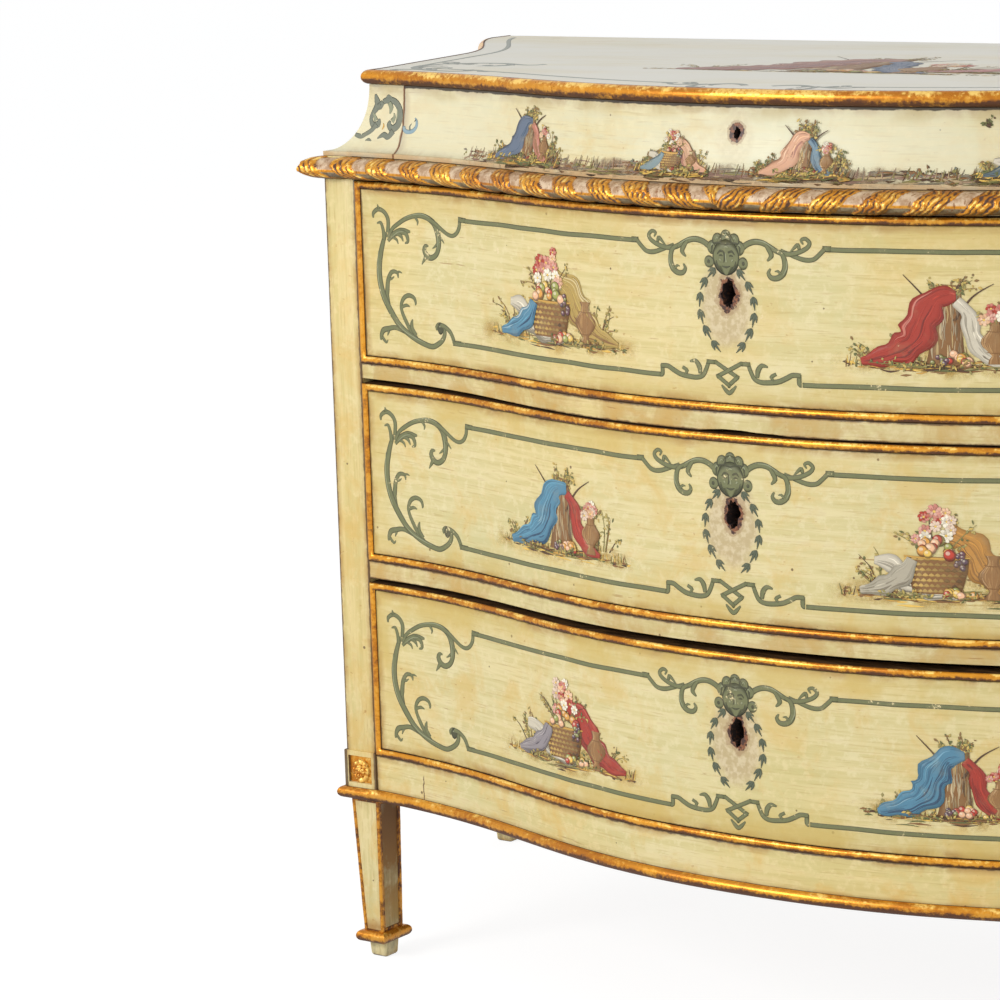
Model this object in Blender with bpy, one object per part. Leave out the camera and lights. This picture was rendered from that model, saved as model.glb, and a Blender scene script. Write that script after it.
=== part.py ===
# Bow-fronted chest of four drawers on square tapered legs, painted and gilt.
# Metres, +Z up. X runs left to right, -Y is the front, the floor is Z = 0, and the
# origin is the middle of the footprint.
import math

import bpy
import bmesh
from mathutils import Vector

# Fits
GAP = 0.0003                    # between pieces that touch
DRAWER_SIDE_GAP = 0.0006        # each side of a drawer front in its opening
WELD = 0.00003                  # corners closer than this are one corner
BREAK_MARGIN_SHARE = 0.1        # least room between a break and a cut end, as a share of a cell

# Heights, from the floor up
LEG_HEIGHT = 0.1625             # floor to the underside of the corner blocks
APRON_HEIGHT = 0.0469           # underside of the apron to the lower drawer
LOWER_DRAWER_HEIGHT = 0.1735
LOWER_HEADROOM = 0.0065         # worn gap over the lower drawer
MIDDLE_DRAWER_HEIGHT = 0.1747
MIDDLE_HEADROOM = 0.0046
UPPER_DRAWER_HEIGHT = 0.1759
UPPER_HEADROOM = 0.0010
RAIL_THICKNESS = 0.0150         # the two rails between the deep drawers
UPPER_RAIL_THICKNESS = 0.0221   # the rail that carries the ribbon moulding
FRIEZE_DRAWER_HEIGHT = 0.0670
FRIEZE_HEADROOM = 0.0006
TOP_THICKNESS = 0.0138

# Plan of the carcass
FRONT_HALF_WIDTH = 0.521        # to the outer faces of the front posts
POST_SIZE = 0.0365
CARCASS_DEPTH = 0.551           # beads of the bowed front to the back
BEAD_PROUD = 0.003              # drawer beads stand before the rails
BOW_DEPTH = 0.1041              # fall of the bow, had it run its whole half span
BOW_HALF_SPAN = 0.5844
BOW_CENTRE_PULL_SHARE = 0.4475  # how long the bow stays full at its centre
BOW_END_PULL_SHARE = 0.5146     # how long it stays straight at its ends
BOW_CELLS = 32
BOW_HALVINGS = 50               # of the search for a place on the bow
SIDE_SPLAY = 0.0637             # even widening of the sides towards the back
SIDE_FLARE = 0.0755             # further widening in the serpentine sweep
SIDE_FLARE_START_SHARE = 0.456  # where along the side panel the sweep begins
SIDE_CELLS = 16
SIDE_THICKNESS = 0.018
BACK_THICKNESS = 0.010

# Ribbon-twist moulding under the frieze
RIBBON_PROJECTION = 0.016       # before the beads of the drawers
RIBBON_PITCH = 0.0445
RIBBON_FULLNESS_SHARE = 0.65    # 1 is a plain half round, less is fuller at its edges
RIBBON_RELIEF_SHARE = 0.13      # carved depth as a share of the moulding's radius
RIBBON_LEAN_TURNS = 0.8         # how far round its turn a strand leans over the moulding
RIBBON_CELL_CUTS = 4            # carved sections to each cell of the bow
RIBBON_SIDE_CUTS = 3
RIBBON_POST_CUTS = 5
ARC_STEPS = 6                   # facets across a half-round moulding

# Other mouldings
BASE_MOULDING_HEIGHT = 0.0118
BASE_MOULDING_PROJECTION = 0.0058
TOP_EDGE_DEPTH = 0.007
TOP_FRONT_INSET = 0.0147        # edge of the top behind the face of the rails
TOP_SIDE_INSET = 0.0375

# Coved frieze
COVE_FRONT_INSET = 0.0215       # head of the cove behind its foot
COVE_SIDE_INSET = 0.043
COVE_LIP = 0.004                # upright fillet at its foot
COVE_STEPS = 7
COVE_WALL = 0.016
FRIEZE_CORNER_LENGTH = 0.089    # front return of a corner piece, to the joint of the drawer

# Corner posts and legs
BLOCK_HEIGHT = 0.0487
BLOCK_PROUD = 0.002
BLOCK_CHAMFER = 0.0015
LEG_NECK = 0.0015               # slope from the block's underside in to the leg
PANEL_MARGIN = 0.007            # border of the sunk panel in a front block
PANEL_DEPTH = 0.0025
LEG_TOP_WIDTH = 0.0325
LEG_TOP_DEPTH = 0.0360
LEG_FOOT_WIDTH = 0.0225
LEG_FOOT_DEPTH = 0.0325
LEG_BEAD_WIDTH = 0.0045         # gilt bead left on each arris of a leg
LEG_BEAD_HEIGHT = 0.0010
COLLAR_HEIGHT = 0.0118
COLLAR_PROJECTION = 0.0068
FOOT_HEIGHT = 0.0165
FOOT_TOP_SIZE = 0.0225
FOOT_BASE_SIZE = 0.0200
ROSETTE_WIDTH = 0.0230
ROSETTE_HEIGHT = 0.0250
ROSETTE_DEPTH = 0.0050
ROSETTE_CLEARANCE = 0.0014      # least room left in the panel, both sides together
ROSETTE_VALLEY_SHARE = 0.2      # how far the notches between petals come in
ROSETTE_PETALS = 8
ROSETTE_RINGS = 4

# Boards inside the carcass
APRON_THICKNESS = 0.022
BASE_BOARD_THICKNESS = 0.012
BASE_BOARD_RISE = 0.0125        # underside of the base board above the apron's
RUNNER_THICKNESS = 0.015
RUNNER_LEDGE = 0.022            # width of a runner under the drawer's side
GUIDE_HEIGHT = 0.012
GUIDE_CLEARANCE = 0.0010

# Drawers
FRONT_THICKNESS = 0.022
BEAD_WIDTH = 0.007
BEAD_STEPS = 4
BOX_BOARD = 0.012
BOX_SIDE_DROP = 0.010           # box sides below the top of the drawer front
BOX_BACK_CLEARANCE = 0.020
BOTTOM_THICKNESS = 0.008
BOTTOM_RISE = 0.006
FRIEZE_BOX_INSET = 0.006        # frieze box side inside the end of its front

# Locks
KEYHOLE_DROP = 0.069            # below the top of a deep drawer
FRIEZE_KEYHOLE_DROP = 0.0215
KEYHOLE_RADIUS = 0.0045
KEYHOLE_SLOT_WIDTH = 0.0050
KEYHOLE_SLOT_LENGTH = 0.0150
KEYHOLE_SIDES = 16
LOCK_WIDTH = 0.050
LOCK_DEPTH = 0.012
LOCK_BELOW_KEYHOLE = 0.024
LOCK_KEY_DEPTH = 0.004          # how deep the keyhole goes into the lock
BOLT_WIDTH = 0.016
BOLT_THICKNESS = 0.0045
BOLT_LENGTH = 0.034
FRIEZE_BOLT_LENGTH = 0.015
BOLT_ENGAGEMENT = 0.007         # how far a thrown bolt enters the rail above
POCKET_CLEARANCE = 0.0010

# Finishes: colour, roughness, metallic
CREAM_PAINT = ((0.60, 0.52, 0.27), 0.55, 0.0)
GILDING = ((0.63, 0.33, 0.10), 0.38, 0.75)
BARE_PINE = ((0.42, 0.27, 0.13), 0.75, 0.0)
LOCK_IRON = ((0.09, 0.08, 0.07), 0.55, 0.9)

# Places that follow from the sizes
FRONT_Y = RIBBON_PROJECTION - (CARCASS_DEPTH + RIBBON_PROJECTION) / 2
BACK_Y = FRONT_Y + CARCASS_DEPTH
OPENING_HALF_WIDTH = FRONT_HALF_WIDTH - POST_SIZE
FRIEZE_OPENING_HALF_WIDTH = FRONT_HALF_WIDTH - FRIEZE_CORNER_LENGTH
BACK_HALF_WIDTH = FRONT_HALF_WIDTH + SIDE_SPLAY + SIDE_FLARE
BLOCK_TOP = LEG_HEIGHT + BLOCK_HEIGHT
LOWER_DRAWER_Z = LEG_HEIGHT + APRON_HEIGHT
LOWER_RAIL_Z = LOWER_DRAWER_Z + LOWER_DRAWER_HEIGHT + LOWER_HEADROOM
MIDDLE_DRAWER_Z = LOWER_RAIL_Z + RAIL_THICKNESS + GAP
MIDDLE_RAIL_Z = MIDDLE_DRAWER_Z + MIDDLE_DRAWER_HEIGHT + MIDDLE_HEADROOM
UPPER_DRAWER_Z = MIDDLE_RAIL_Z + RAIL_THICKNESS + GAP
UPPER_RAIL_Z = UPPER_DRAWER_Z + UPPER_DRAWER_HEIGHT + UPPER_HEADROOM
CARCASS_TOP = UPPER_RAIL_Z + UPPER_RAIL_THICKNESS
FRIEZE_DRAWER_Z = CARCASS_TOP + GAP
TOP_BOARD_Z = FRIEZE_DRAWER_Z + FRIEZE_DRAWER_HEIGHT + FRIEZE_HEADROOM
TOP_Z = TOP_BOARD_Z + TOP_THICKNESS


def clear_scene():
    for old in list(bpy.data.objects):
        bpy.data.objects.remove(old, do_unlink=True)


def new_collection(name):
    collection = bpy.data.collections.new(name)
    bpy.context.scene.collection.children.link(collection)
    return collection


clear_scene()
PARTS = new_collection("chest_of_drawers")
CUTTERS = new_collection("cutters")


def set_finish(part, finish):
    """Give a part its own paint, gilding, wood or iron."""
    colour, roughness, metallic = finish
    material = bpy.data.materials.new(part.name)
    material.use_nodes = True
    shader = material.node_tree.nodes["Principled BSDF"]
    shader.inputs["Base Color"].default_value = (*colour, 1)
    shader.inputs["Roughness"].default_value = roughness
    shader.inputs["Metallic"].default_value = metallic
    part.data.materials.append(material)
    return part


def object_from_bmesh(name, bm, collection=PARTS):
    mesh = bpy.data.meshes.new(name)
    bm.to_mesh(mesh)
    bm.free()
    thing = bpy.data.objects.new(name, mesh)
    collection.objects.link(thing)
    return thing


def box(name, low, high, collection=PARTS):
    """A squared board between two opposite corners."""
    bm = bmesh.new()
    bmesh.ops.create_cube(bm, size=1)
    low, high = Vector(low), Vector(high)
    bmesh.ops.scale(bm, vec=high - low, verts=bm.verts)
    thing = object_from_bmesh(name, bm, collection)
    thing.location = (low + high) / 2
    return thing


def outline_curve(name, outline, half_thickness):
    """A flat outline thickened on both sides of its own plane."""
    curve = bpy.data.curves.new(name, "CURVE")
    curve.dimensions = "2D"
    curve.fill_mode = "BOTH"
    curve.extrude = half_thickness
    spline = curve.splines.new("POLY")
    spline.points.add(len(outline) - 1)
    for point, (x, y) in zip(spline.points, outline):
        point.co = (x, y, 0, 1)
    spline.use_cyclic_u = True
    board = bpy.data.objects.new(name, curve)
    PARTS.objects.link(board)
    return board


def plan_board(name, outline, bottom, top):
    """A level board sawn to an outline in plan."""
    board = outline_curve(name, outline, (top - bottom) / 2)
    board.location.z = (top + bottom) / 2
    return board


def upright_board(name, outline, front, back):
    """A board whose outline is drawn in X and Z and whose thickness runs in Y."""
    board = outline_curve(name, outline, (back - front) / 2)
    board.rotation_euler.x = math.pi / 2
    board.location.y = (front + back) / 2
    return board


def as_mesh(board):
    """Turn a thickened outline into a welded mesh that can be cut."""
    bpy.context.view_layer.update()
    name = board.name
    evaluated = board.evaluated_get(bpy.context.evaluated_depsgraph_get())
    mesh = bpy.data.meshes.new_from_object(evaluated)
    bm = bmesh.new()
    bm.from_mesh(mesh)
    bmesh.ops.remove_doubles(bm, verts=bm.verts, dist=WELD)
    bm.to_mesh(mesh)
    bm.free()
    solid = bpy.data.objects.new(name + "_solid", mesh)
    solid.matrix_world = board.matrix_world
    bpy.data.objects.remove(board, do_unlink=True)
    solid.name = name
    PARTS.objects.link(solid)
    return solid


def loft(name, rings, closed=False):
    """Skin a ring of points that changes from station to station."""
    bm = bmesh.new()
    loops = [[bm.verts.new(point) for point in ring] for ring in rings]
    pairs = list(zip(loops, loops[1:]))
    if closed:
        pairs.append((loops[-1], loops[0]))
    for near, far in pairs:
        for i in range(len(near)):
            j = (i + 1) % len(near)
            bm.faces.new((near[i], near[j], far[j], far[i]))
    if not closed:
        bm.faces.new(loops[0])
        bm.faces.new(loops[-1])
    bmesh.ops.remove_doubles(bm, verts=bm.verts, dist=WELD)
    bmesh.ops.recalc_face_normals(bm, faces=bm.faces)
    return object_from_bmesh(name, bm)


def shade_round(part, sharp_angle=math.radians(40)):
    part.data.shade_smooth()
    part.data.set_sharp_from_angle(angle=sharp_angle)


def cut(part, cutter):
    """Take a cutter's shape out of a part."""
    cutter.hide_render = True
    cutter.display_type = "WIRE"
    modifier = part.modifiers.new("cut_" + cutter.name, "BOOLEAN")
    modifier.operation = "DIFFERENCE"
    modifier.object = cutter


def carrier(name, place):
    """An empty on a sliding piece's line of travel."""
    empty = bpy.data.objects.new(name, None)
    empty.location = place
    PARTS.objects.link(empty)
    return empty


def carry(part, empty):
    part.location -= empty.location
    part.parent = empty


# The bowed front

def bow_curve_setback(x):
    """Setback of the front at a distance from the centre, on one easy cubic."""
    low, high = 0.0, 1.0
    for _ in range(BOW_HALVINGS):
        t = (low + high) / 2
        reach = 3 * (1 - t) ** 2 * t * BOW_CENTRE_PULL_SHARE
        reach += 3 * (1 - t) * t ** 2 * (1 - BOW_END_PULL_SHARE) + t ** 3
        if reach * BOW_HALF_SPAN < abs(x):
            low = t
        else:
            high = t
    return BOW_DEPTH * (3 * (1 - t) * t ** 2 + t ** 3)


BOW_STEP = 2 * OPENING_HALF_WIDTH / BOW_CELLS
BOW_XS = [i * BOW_STEP - OPENING_HALF_WIDTH for i in range(BOW_CELLS + 1)]
BOW_SETBACKS = [bow_curve_setback(x) for x in BOW_XS]


def face_y(x):
    """Face of the rails, on the facets that every bowed piece shares; flat over the posts."""
    place = (min(abs(x), OPENING_HALF_WIDTH) + OPENING_HALF_WIDTH) / BOW_STEP
    cell = min(int(place), BOW_CELLS - 1)
    share = place - cell
    setback = BOW_SETBACKS[cell] * (1 - share) + BOW_SETBACKS[cell + 1] * share
    return FRONT_Y + BEAD_PROUD + setback


POST_FACE_Y = face_y(OPENING_HALF_WIDTH)
POST_REAR_Y = POST_FACE_Y + POST_SIZE
BACK_POST_Y = BACK_Y - POST_SIZE
PANEL_LENGTH = BACK_POST_Y - POST_REAR_Y
BACK_PANEL_Y = BACK_Y - BACK_THICKNESS


def front_xs(half_width):
    """The bow's shared breaks inside a width, with the ends."""
    inside = [x for x in BOW_XS if abs(x) < half_width - BOW_STEP * BREAK_MARGIN_SHARE]
    return [-half_width] + inside + [half_width]


def bowed_outline(half_width, front_inset, back_inset):
    """Plan of a board that follows the bow on both faces."""
    xs = front_xs(half_width)
    front = [(x, face_y(x) + front_inset) for x in xs]
    back = [(x, face_y(x) + back_inset) for x in reversed(xs)]
    return front + back


# The serpentine sides

def side_x(y):
    """Half width of the carcass at a place along the side panel."""
    share = (y - POST_REAR_Y) / PANEL_LENGTH
    sweep = max(0.0, (share - SIDE_FLARE_START_SHARE) / (1 - SIDE_FLARE_START_SHARE))
    eased = sweep * sweep * (3 - 2 * sweep)
    return FRONT_HALF_WIDTH + SIDE_SPLAY * share + SIDE_FLARE * eased


SIDE_YS = [POST_REAR_Y + PANEL_LENGTH * i / SIDE_CELLS for i in range(SIDE_CELLS + 1)]


def side_line(extra_cuts=1):
    """Outer edge of the right side from the front corner to the back, with its normals."""
    points = [Vector((FRONT_HALF_WIDTH, POST_FACE_Y))]
    breaks = points + [Vector((side_x(y), y)) for y in SIDE_YS]
    breaks.append(Vector((BACK_HALF_WIDTH, BACK_Y)))
    cuts = [1] + [extra_cuts] * SIDE_CELLS + [1]
    if extra_cuts > 1:
        cuts[0] = cuts[-1] = RIBBON_POST_CUTS
    for start, end, count in zip(breaks, breaks[1:], cuts):
        points = points + [start.lerp(end, (i + 1) / count) for i in range(count)]
    normals = []
    for i, point in enumerate(points):
        before = (point - points[max(i - 1, 0)]).normalized()
        after = (points[min(i + 1, len(points) - 1)] - point).normalized()
        along = before + after
        bend = 1 + before.dot(after) if before.length and after.length else 1.0
        normals.append(Vector((along.y, -along.x)) / bend)
    return list(zip(points, normals))


def outline_stations(front_inset=0.0, side_inset=0.0, front_cuts=1, side_cuts=1):
    """Places round the front and sides, back left to back right.

    Each is a point, the way its front offset moves it and the way its side offset does.
    """
    still = Vector((0.0, 0.0))
    ahead = Vector((0.0, -1.0))
    margin = POST_SIZE * BREAK_MARGIN_SHARE
    right = []
    for point, normal in side_line(side_cuts)[1:]:
        if point.y > POST_FACE_Y + front_inset + margin or not front_inset:
            right.append((point, still, normal))
    corner = (Vector((FRONT_HALF_WIDTH, POST_FACE_Y)), ahead, Vector((1.0, 0.0)))
    reach = FRONT_HALF_WIDTH - side_inset - margin
    xs = [x for x in BOW_XS if abs(x) <= reach]
    if front_cuts > 1:
        fine = [a + (b - a) * i / front_cuts for a, b in zip(xs, xs[1:]) for i in range(front_cuts)]
        step = POST_SIZE / RIBBON_POST_CUTS
        outer = [OPENING_HALF_WIDTH + step * i for i in range(1, RIBBON_POST_CUTS)]
        xs = [-x for x in reversed(outer)] + fine + [xs[-1]] + outer
    front = [(Vector((x, face_y(x))), ahead, still) for x in xs]
    right = [corner] + right
    left = [mirrored(place) for place in reversed(right)]
    return left + front + right


def mirrored(place):
    flip = Vector((-1.0, 1.0))
    return tuple(vector * flip for vector in place)


def offset_ring(place, profile):
    """Profile points (front offset, side offset, height) set out at one station."""
    point, ahead, aside = place
    ring = []
    for front_offset, side_offset, z in profile:
        moved = point + ahead * front_offset + aside * side_offset
        ring.append((moved.x, moved.y, z))
    return ring


def half_round(depth, bottom, top, seat=GAP):
    """Half-round section standing out from a face, as offset and height."""
    middle = (bottom + top) / 2
    half = (top - bottom) / 2
    angles = [math.pi * (i / ARC_STEPS - 1 / 2) for i in range(ARC_STEPS + 1)]
    return [(seat + depth * math.cos(a), middle + half * math.sin(a)) for a in angles]


# Top

def top_inset_outline(front_inset, side_inset):
    profile = [(-front_inset, -side_inset, TOP_Z)]
    places = outline_stations(front_inset, side_inset)
    return [offset_ring(place, profile)[0][:2] for place in places]


def make_top_board():
    outline = top_inset_outline(TOP_FRONT_INSET + TOP_EDGE_DEPTH, TOP_SIDE_INSET + TOP_EDGE_DEPTH)
    board = as_mesh(plan_board("top_board", outline, TOP_BOARD_Z, TOP_Z))
    return set_finish(board, CREAM_PAINT)


def make_top_edge_moulding():
    section = half_round(TOP_EDGE_DEPTH - GAP, TOP_BOARD_Z, TOP_Z)
    shift_front = -TOP_FRONT_INSET - TOP_EDGE_DEPTH
    shift_side = -TOP_SIDE_INSET - TOP_EDGE_DEPTH
    profile = [(d + shift_front, d + shift_side, z) for d, z in section]
    places = outline_stations(-shift_front, -shift_side)
    moulding = loft("top_edge_moulding", [offset_ring(place, profile) for place in places])
    shade_round(moulding)
    set_finish(moulding, GILDING)


# Coved frieze

def cove_profile(bottom, top):
    """Cove and its flat inner face, as front offset, side offset and height."""
    rise = top - bottom - COVE_LIP
    profile = [(0.0, 0.0, bottom)]
    for i in range(COVE_STEPS + 1):
        angle = math.pi / 2 * i / COVE_STEPS
        inward = math.sin(angle)
        z = bottom + COVE_LIP + rise * (1 - math.cos(angle))
        profile.append((-COVE_FRONT_INSET * inward, -COVE_SIDE_INSET * inward, z))
    front_inner = -COVE_FRONT_INSET - COVE_WALL
    side_inner = -COVE_SIDE_INSET - COVE_WALL
    return profile + [(front_inner, side_inner, top), (front_inner, side_inner, bottom)]


def make_frieze_corner(name, side):
    """Coved side of the frieze with its mitred return on the front."""
    profile = cove_profile(CARCASS_TOP + GAP, TOP_BOARD_Z - GAP)
    places = outline_stations(COVE_FRONT_INSET + COVE_WALL, COVE_SIDE_INSET + COVE_WALL)
    end_x = FRIEZE_OPENING_HALF_WIDTH
    own = [place for place in places if place[0].x * side > end_x + BOW_STEP * BREAK_MARGIN_SHARE]
    joint = (Vector((end_x * side, face_y(end_x))), Vector((0.0, -1.0)), Vector((0.0, 0.0)))
    own = own + [joint] if side < 0 else [joint] + own
    corner = loft(name, [offset_ring(place, profile) for place in own])
    shade_round(corner)
    set_finish(corner, CREAM_PAINT)


# Ribbon-twist moulding

def ribbon_radius_share(along, angle):
    """Radius of the carved twist at a distance along it and an angle over it."""
    turns = along / RIBBON_PITCH - RIBBON_LEAN_TURNS * angle / math.pi
    wave = math.cos(2 * math.pi * turns)
    return 1 - RIBBON_RELIEF_SHARE * (1 - wave) / 2


def ribbon_ring(place, along):
    """Carved half-round section at one station."""
    middle = CARCASS_TOP - UPPER_RAIL_THICKNESS / 2
    half = UPPER_RAIL_THICKNESS / 2 - GAP
    depth = RIBBON_PROJECTION + BEAD_PROUD - GAP
    profile = []
    for i in range(ARC_STEPS + 1):
        angle = math.pi * (i / ARC_STEPS - 1 / 2)
        share = ribbon_radius_share(along, angle)
        fullness = max(math.cos(angle), 0.0) ** RIBBON_FULLNESS_SHARE
        out = GAP + depth * share * fullness
        profile.append((out, out, middle + half * share * math.sin(angle)))
    return offset_ring(place, profile)


def make_ribbon_moulding():
    """Carved outwards from the middle of the front, so its two halves lean opposite ways."""
    places = outline_stations(front_cuts=RIBBON_CELL_CUTS, side_cuts=RIBBON_SIDE_CUTS)
    along = [0.0]
    for before, after in zip(places, places[1:]):
        along.append(along[-1] + (after[0] - before[0]).length)
    middle = along[-1] / 2
    rings = [ribbon_ring(place, abs(run - middle)) for place, run in zip(places, along)]
    moulding = loft("ribbon_moulding", rings)
    shade_round(moulding)
    set_finish(moulding, GILDING)


# Base moulding

def block_edge(point):
    """Whether a station lies at the inner edge of a front block, and at its rear edge."""
    before_rear = point.y < POST_REAR_Y - GAP
    inner_edge = before_rear and abs(abs(point.x) - OPENING_HALF_WIDTH) < GAP
    rear_edge = abs(point.y - POST_REAR_Y) < GAP and abs(point.x) > OPENING_HALF_WIDTH
    return inner_edge, rear_edge


def past_block(place, inner_edge):
    """Move a station just past its block's edge, so that the moulding's step clears it."""
    point, ahead, aside = place
    if inner_edge:
        return point - Vector((math.copysign(GAP, point.x), 0.0)), ahead, aside
    return point + Vector((0.0, GAP)), ahead, aside


def make_base_moulding():
    """Half-round that laps the apron, steps out round the blocks and runs down the sides."""
    section = half_round(BASE_MOULDING_PROJECTION, LEG_HEIGHT, LEG_HEIGHT + BASE_MOULDING_HEIGHT)
    rings = []
    for place in outline_stations():
        point = place[0]
        inner_edge, rear_edge = block_edge(point)
        on_block = abs(point.x) > OPENING_HALF_WIDTH + GAP and point.y < POST_REAR_Y - GAP
        steps = [BLOCK_PROUD if on_block else 0.0]
        if inner_edge or rear_edge:
            onto_block = (point.x < 0) == rear_edge
            steps = [0.0, BLOCK_PROUD] if onto_block else [BLOCK_PROUD, 0.0]
            place = past_block(place, inner_edge)
        for step in steps:
            rings.append(offset_ring(place, [(d + step, d + step, z) for d, z in section]))
    moulding = loft("base_moulding", rings)
    shade_round(moulding)
    set_finish(moulding, GILDING)


# Rails, apron and base board

def make_rail(name, bottom, thickness):
    """Rail sawn to the bow in front and straight behind."""
    half_width = OPENING_HALF_WIDTH - GAP
    outline = [(x, face_y(x)) for x in front_xs(half_width)]
    outline += [(half_width, POST_REAR_Y), (-half_width, POST_REAR_Y)]
    rail = as_mesh(plan_board(name, outline, bottom, bottom + thickness))
    return set_finish(rail, CREAM_PAINT)


def make_apron():
    outline = bowed_outline(OPENING_HALF_WIDTH - GAP, 0.0, APRON_THICKNESS)
    apron = plan_board("apron", outline, LEG_HEIGHT, LOWER_DRAWER_Z - GAP)
    set_finish(apron, CREAM_PAINT)


def inner_side_points(clearance):
    """Inner face of the right side panel, front to back, moved inwards by a clearance."""
    line = side_line()
    inward = SIDE_THICKNESS + clearance
    return [point - normal * inward for point, normal in line[2:2 + SIDE_CELLS - 1]]


def make_base_board():
    """Bottom board, cut round the four posts."""
    inner_x = OPENING_HALF_WIDTH - GAP
    front = [(x, face_y(x) + APRON_THICKNESS + GAP) for x in front_xs(inner_x)]
    first_x = FRONT_HALF_WIDTH - SIDE_THICKNESS - GAP
    back_post_x = BACK_HALF_WIDTH - POST_SIZE - GAP
    right = [(inner_x, POST_REAR_Y + GAP), (first_x, POST_REAR_Y + GAP)]
    right += [(point.x, point.y) for point in inner_side_points(GAP)]
    right += [(back_post_x, BACK_POST_Y - GAP), (back_post_x, BACK_PANEL_Y - GAP)]
    outline = front + right + [(-x, y) for x, y in reversed(right)]
    bottom = LEG_HEIGHT + BASE_BOARD_RISE
    board = plan_board("base_board", outline, bottom, bottom + BASE_BOARD_THICKNESS)
    set_finish(board, BARE_PINE)


# Corner posts

def post_ring(side, end, z, inner, outer, face, rear):
    """Rectangle of a post, measured out from its inner edge and in from its show face."""
    half_width = FRONT_HALF_WIDTH if end < 0 else BACK_HALF_WIDTH
    show_y = POST_FACE_Y if end < 0 else BACK_Y
    xs = [side * (half_width - POST_SIZE + a) for a in (inner, outer)]
    ys = [show_y - end * b for b in (face, rear)]
    return [(xs[0], ys[0], z), (xs[1], ys[0], z), (xs[1], ys[1], z), (xs[0], ys[1], z)]


def make_post(name, side, end):
    """Post, block, tapered leg, collar and foot cut from one length of wood."""
    proud = BLOCK_PROUD if end < 0 else 0.0
    leg_face = 0.0 if end < 0 else COLLAR_PROJECTION
    leg_rear = leg_face + LEG_FOOT_DEPTH
    collar_z = FOOT_HEIGHT + COLLAR_HEIGHT
    rings = [
        post_ring(side, end, CARCASS_TOP, 0.0, POST_SIZE, 0.0, POST_SIZE),
        post_ring(side, end, BLOCK_TOP, 0.0, POST_SIZE, 0.0, POST_SIZE),
    ]
    if proud:
        chamfer_z = BLOCK_TOP - BLOCK_CHAMFER
        rings.append(post_ring(side, end, chamfer_z, 0.0, POST_SIZE + proud, -proud, POST_SIZE))
    neck_z = LEG_HEIGHT - LEG_NECK
    leg_top_rear = min(leg_face + LEG_TOP_DEPTH, POST_SIZE)
    rings += [
        post_ring(side, end, LEG_HEIGHT, 0.0, POST_SIZE + proud, -proud, POST_SIZE),
        post_ring(side, end, neck_z, 0.0, LEG_TOP_WIDTH, leg_face, leg_top_rear),
        post_ring(side, end, collar_z, 0.0, LEG_FOOT_WIDTH, leg_face, leg_rear),
    ]
    for i in range(1, ARC_STEPS):
        angle = math.pi * i / ARC_STEPS
        out = COLLAR_PROJECTION * math.sin(angle)
        z = FOOT_HEIGHT + COLLAR_HEIGHT * (1 + math.cos(angle)) / 2
        outer = LEG_FOOT_WIDTH + out
        rings.append(post_ring(side, end, z, -out, outer, leg_face - out, leg_rear + out))
    for size, z in ((FOOT_TOP_SIZE, FOOT_HEIGHT), (FOOT_BASE_SIZE, 0.0)):
        inner = (LEG_FOOT_WIDTH - size) / 2
        face = leg_face + (LEG_FOOT_DEPTH - size) / 2
        rings.append(post_ring(side, end, z, inner, inner + size, face, face + size))
    post = loft(name, rings)
    sink_leg_faces(post, collar_z)
    if proud:
        cut(post, make_panel_cutter(name + "_panel", side))
    set_finish(post, CREAM_PAINT)


def sink_leg_faces(post, collar_z):
    """Lower the four faces of the leg inside a bead left along each arris."""
    bm = bmesh.new()
    bm.from_mesh(post.data)
    neck_z = LEG_HEIGHT - LEG_NECK
    faces = [f for f in bm.faces if collar_z < f.calc_center_median().z < neck_z]
    bmesh.ops.inset_individual(bm, faces=faces, thickness=LEG_BEAD_WIDTH, depth=-LEG_BEAD_HEIGHT)
    bm.to_mesh(post.data)
    bm.free()


def sunk_panel_box(side):
    """Corners of the sunk panel of a front block."""
    inner = side * (OPENING_HALF_WIDTH + PANEL_MARGIN)
    outer = side * (FRONT_HALF_WIDTH + BLOCK_PROUD - PANEL_MARGIN)
    floor_y = POST_FACE_Y - BLOCK_PROUD + PANEL_DEPTH
    low_z = LEG_HEIGHT + BASE_MOULDING_HEIGHT + PANEL_MARGIN / 2
    return min(inner, outer), max(inner, outer), floor_y, low_z, BLOCK_TOP - PANEL_MARGIN


def make_panel_cutter(name, side):
    low_x, high_x, floor_y, low_z, high_z = sunk_panel_box(side)
    front = POST_FACE_Y - POST_SIZE
    return box(name, (low_x, front, low_z), (high_x, floor_y, high_z), CUTTERS)


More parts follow.
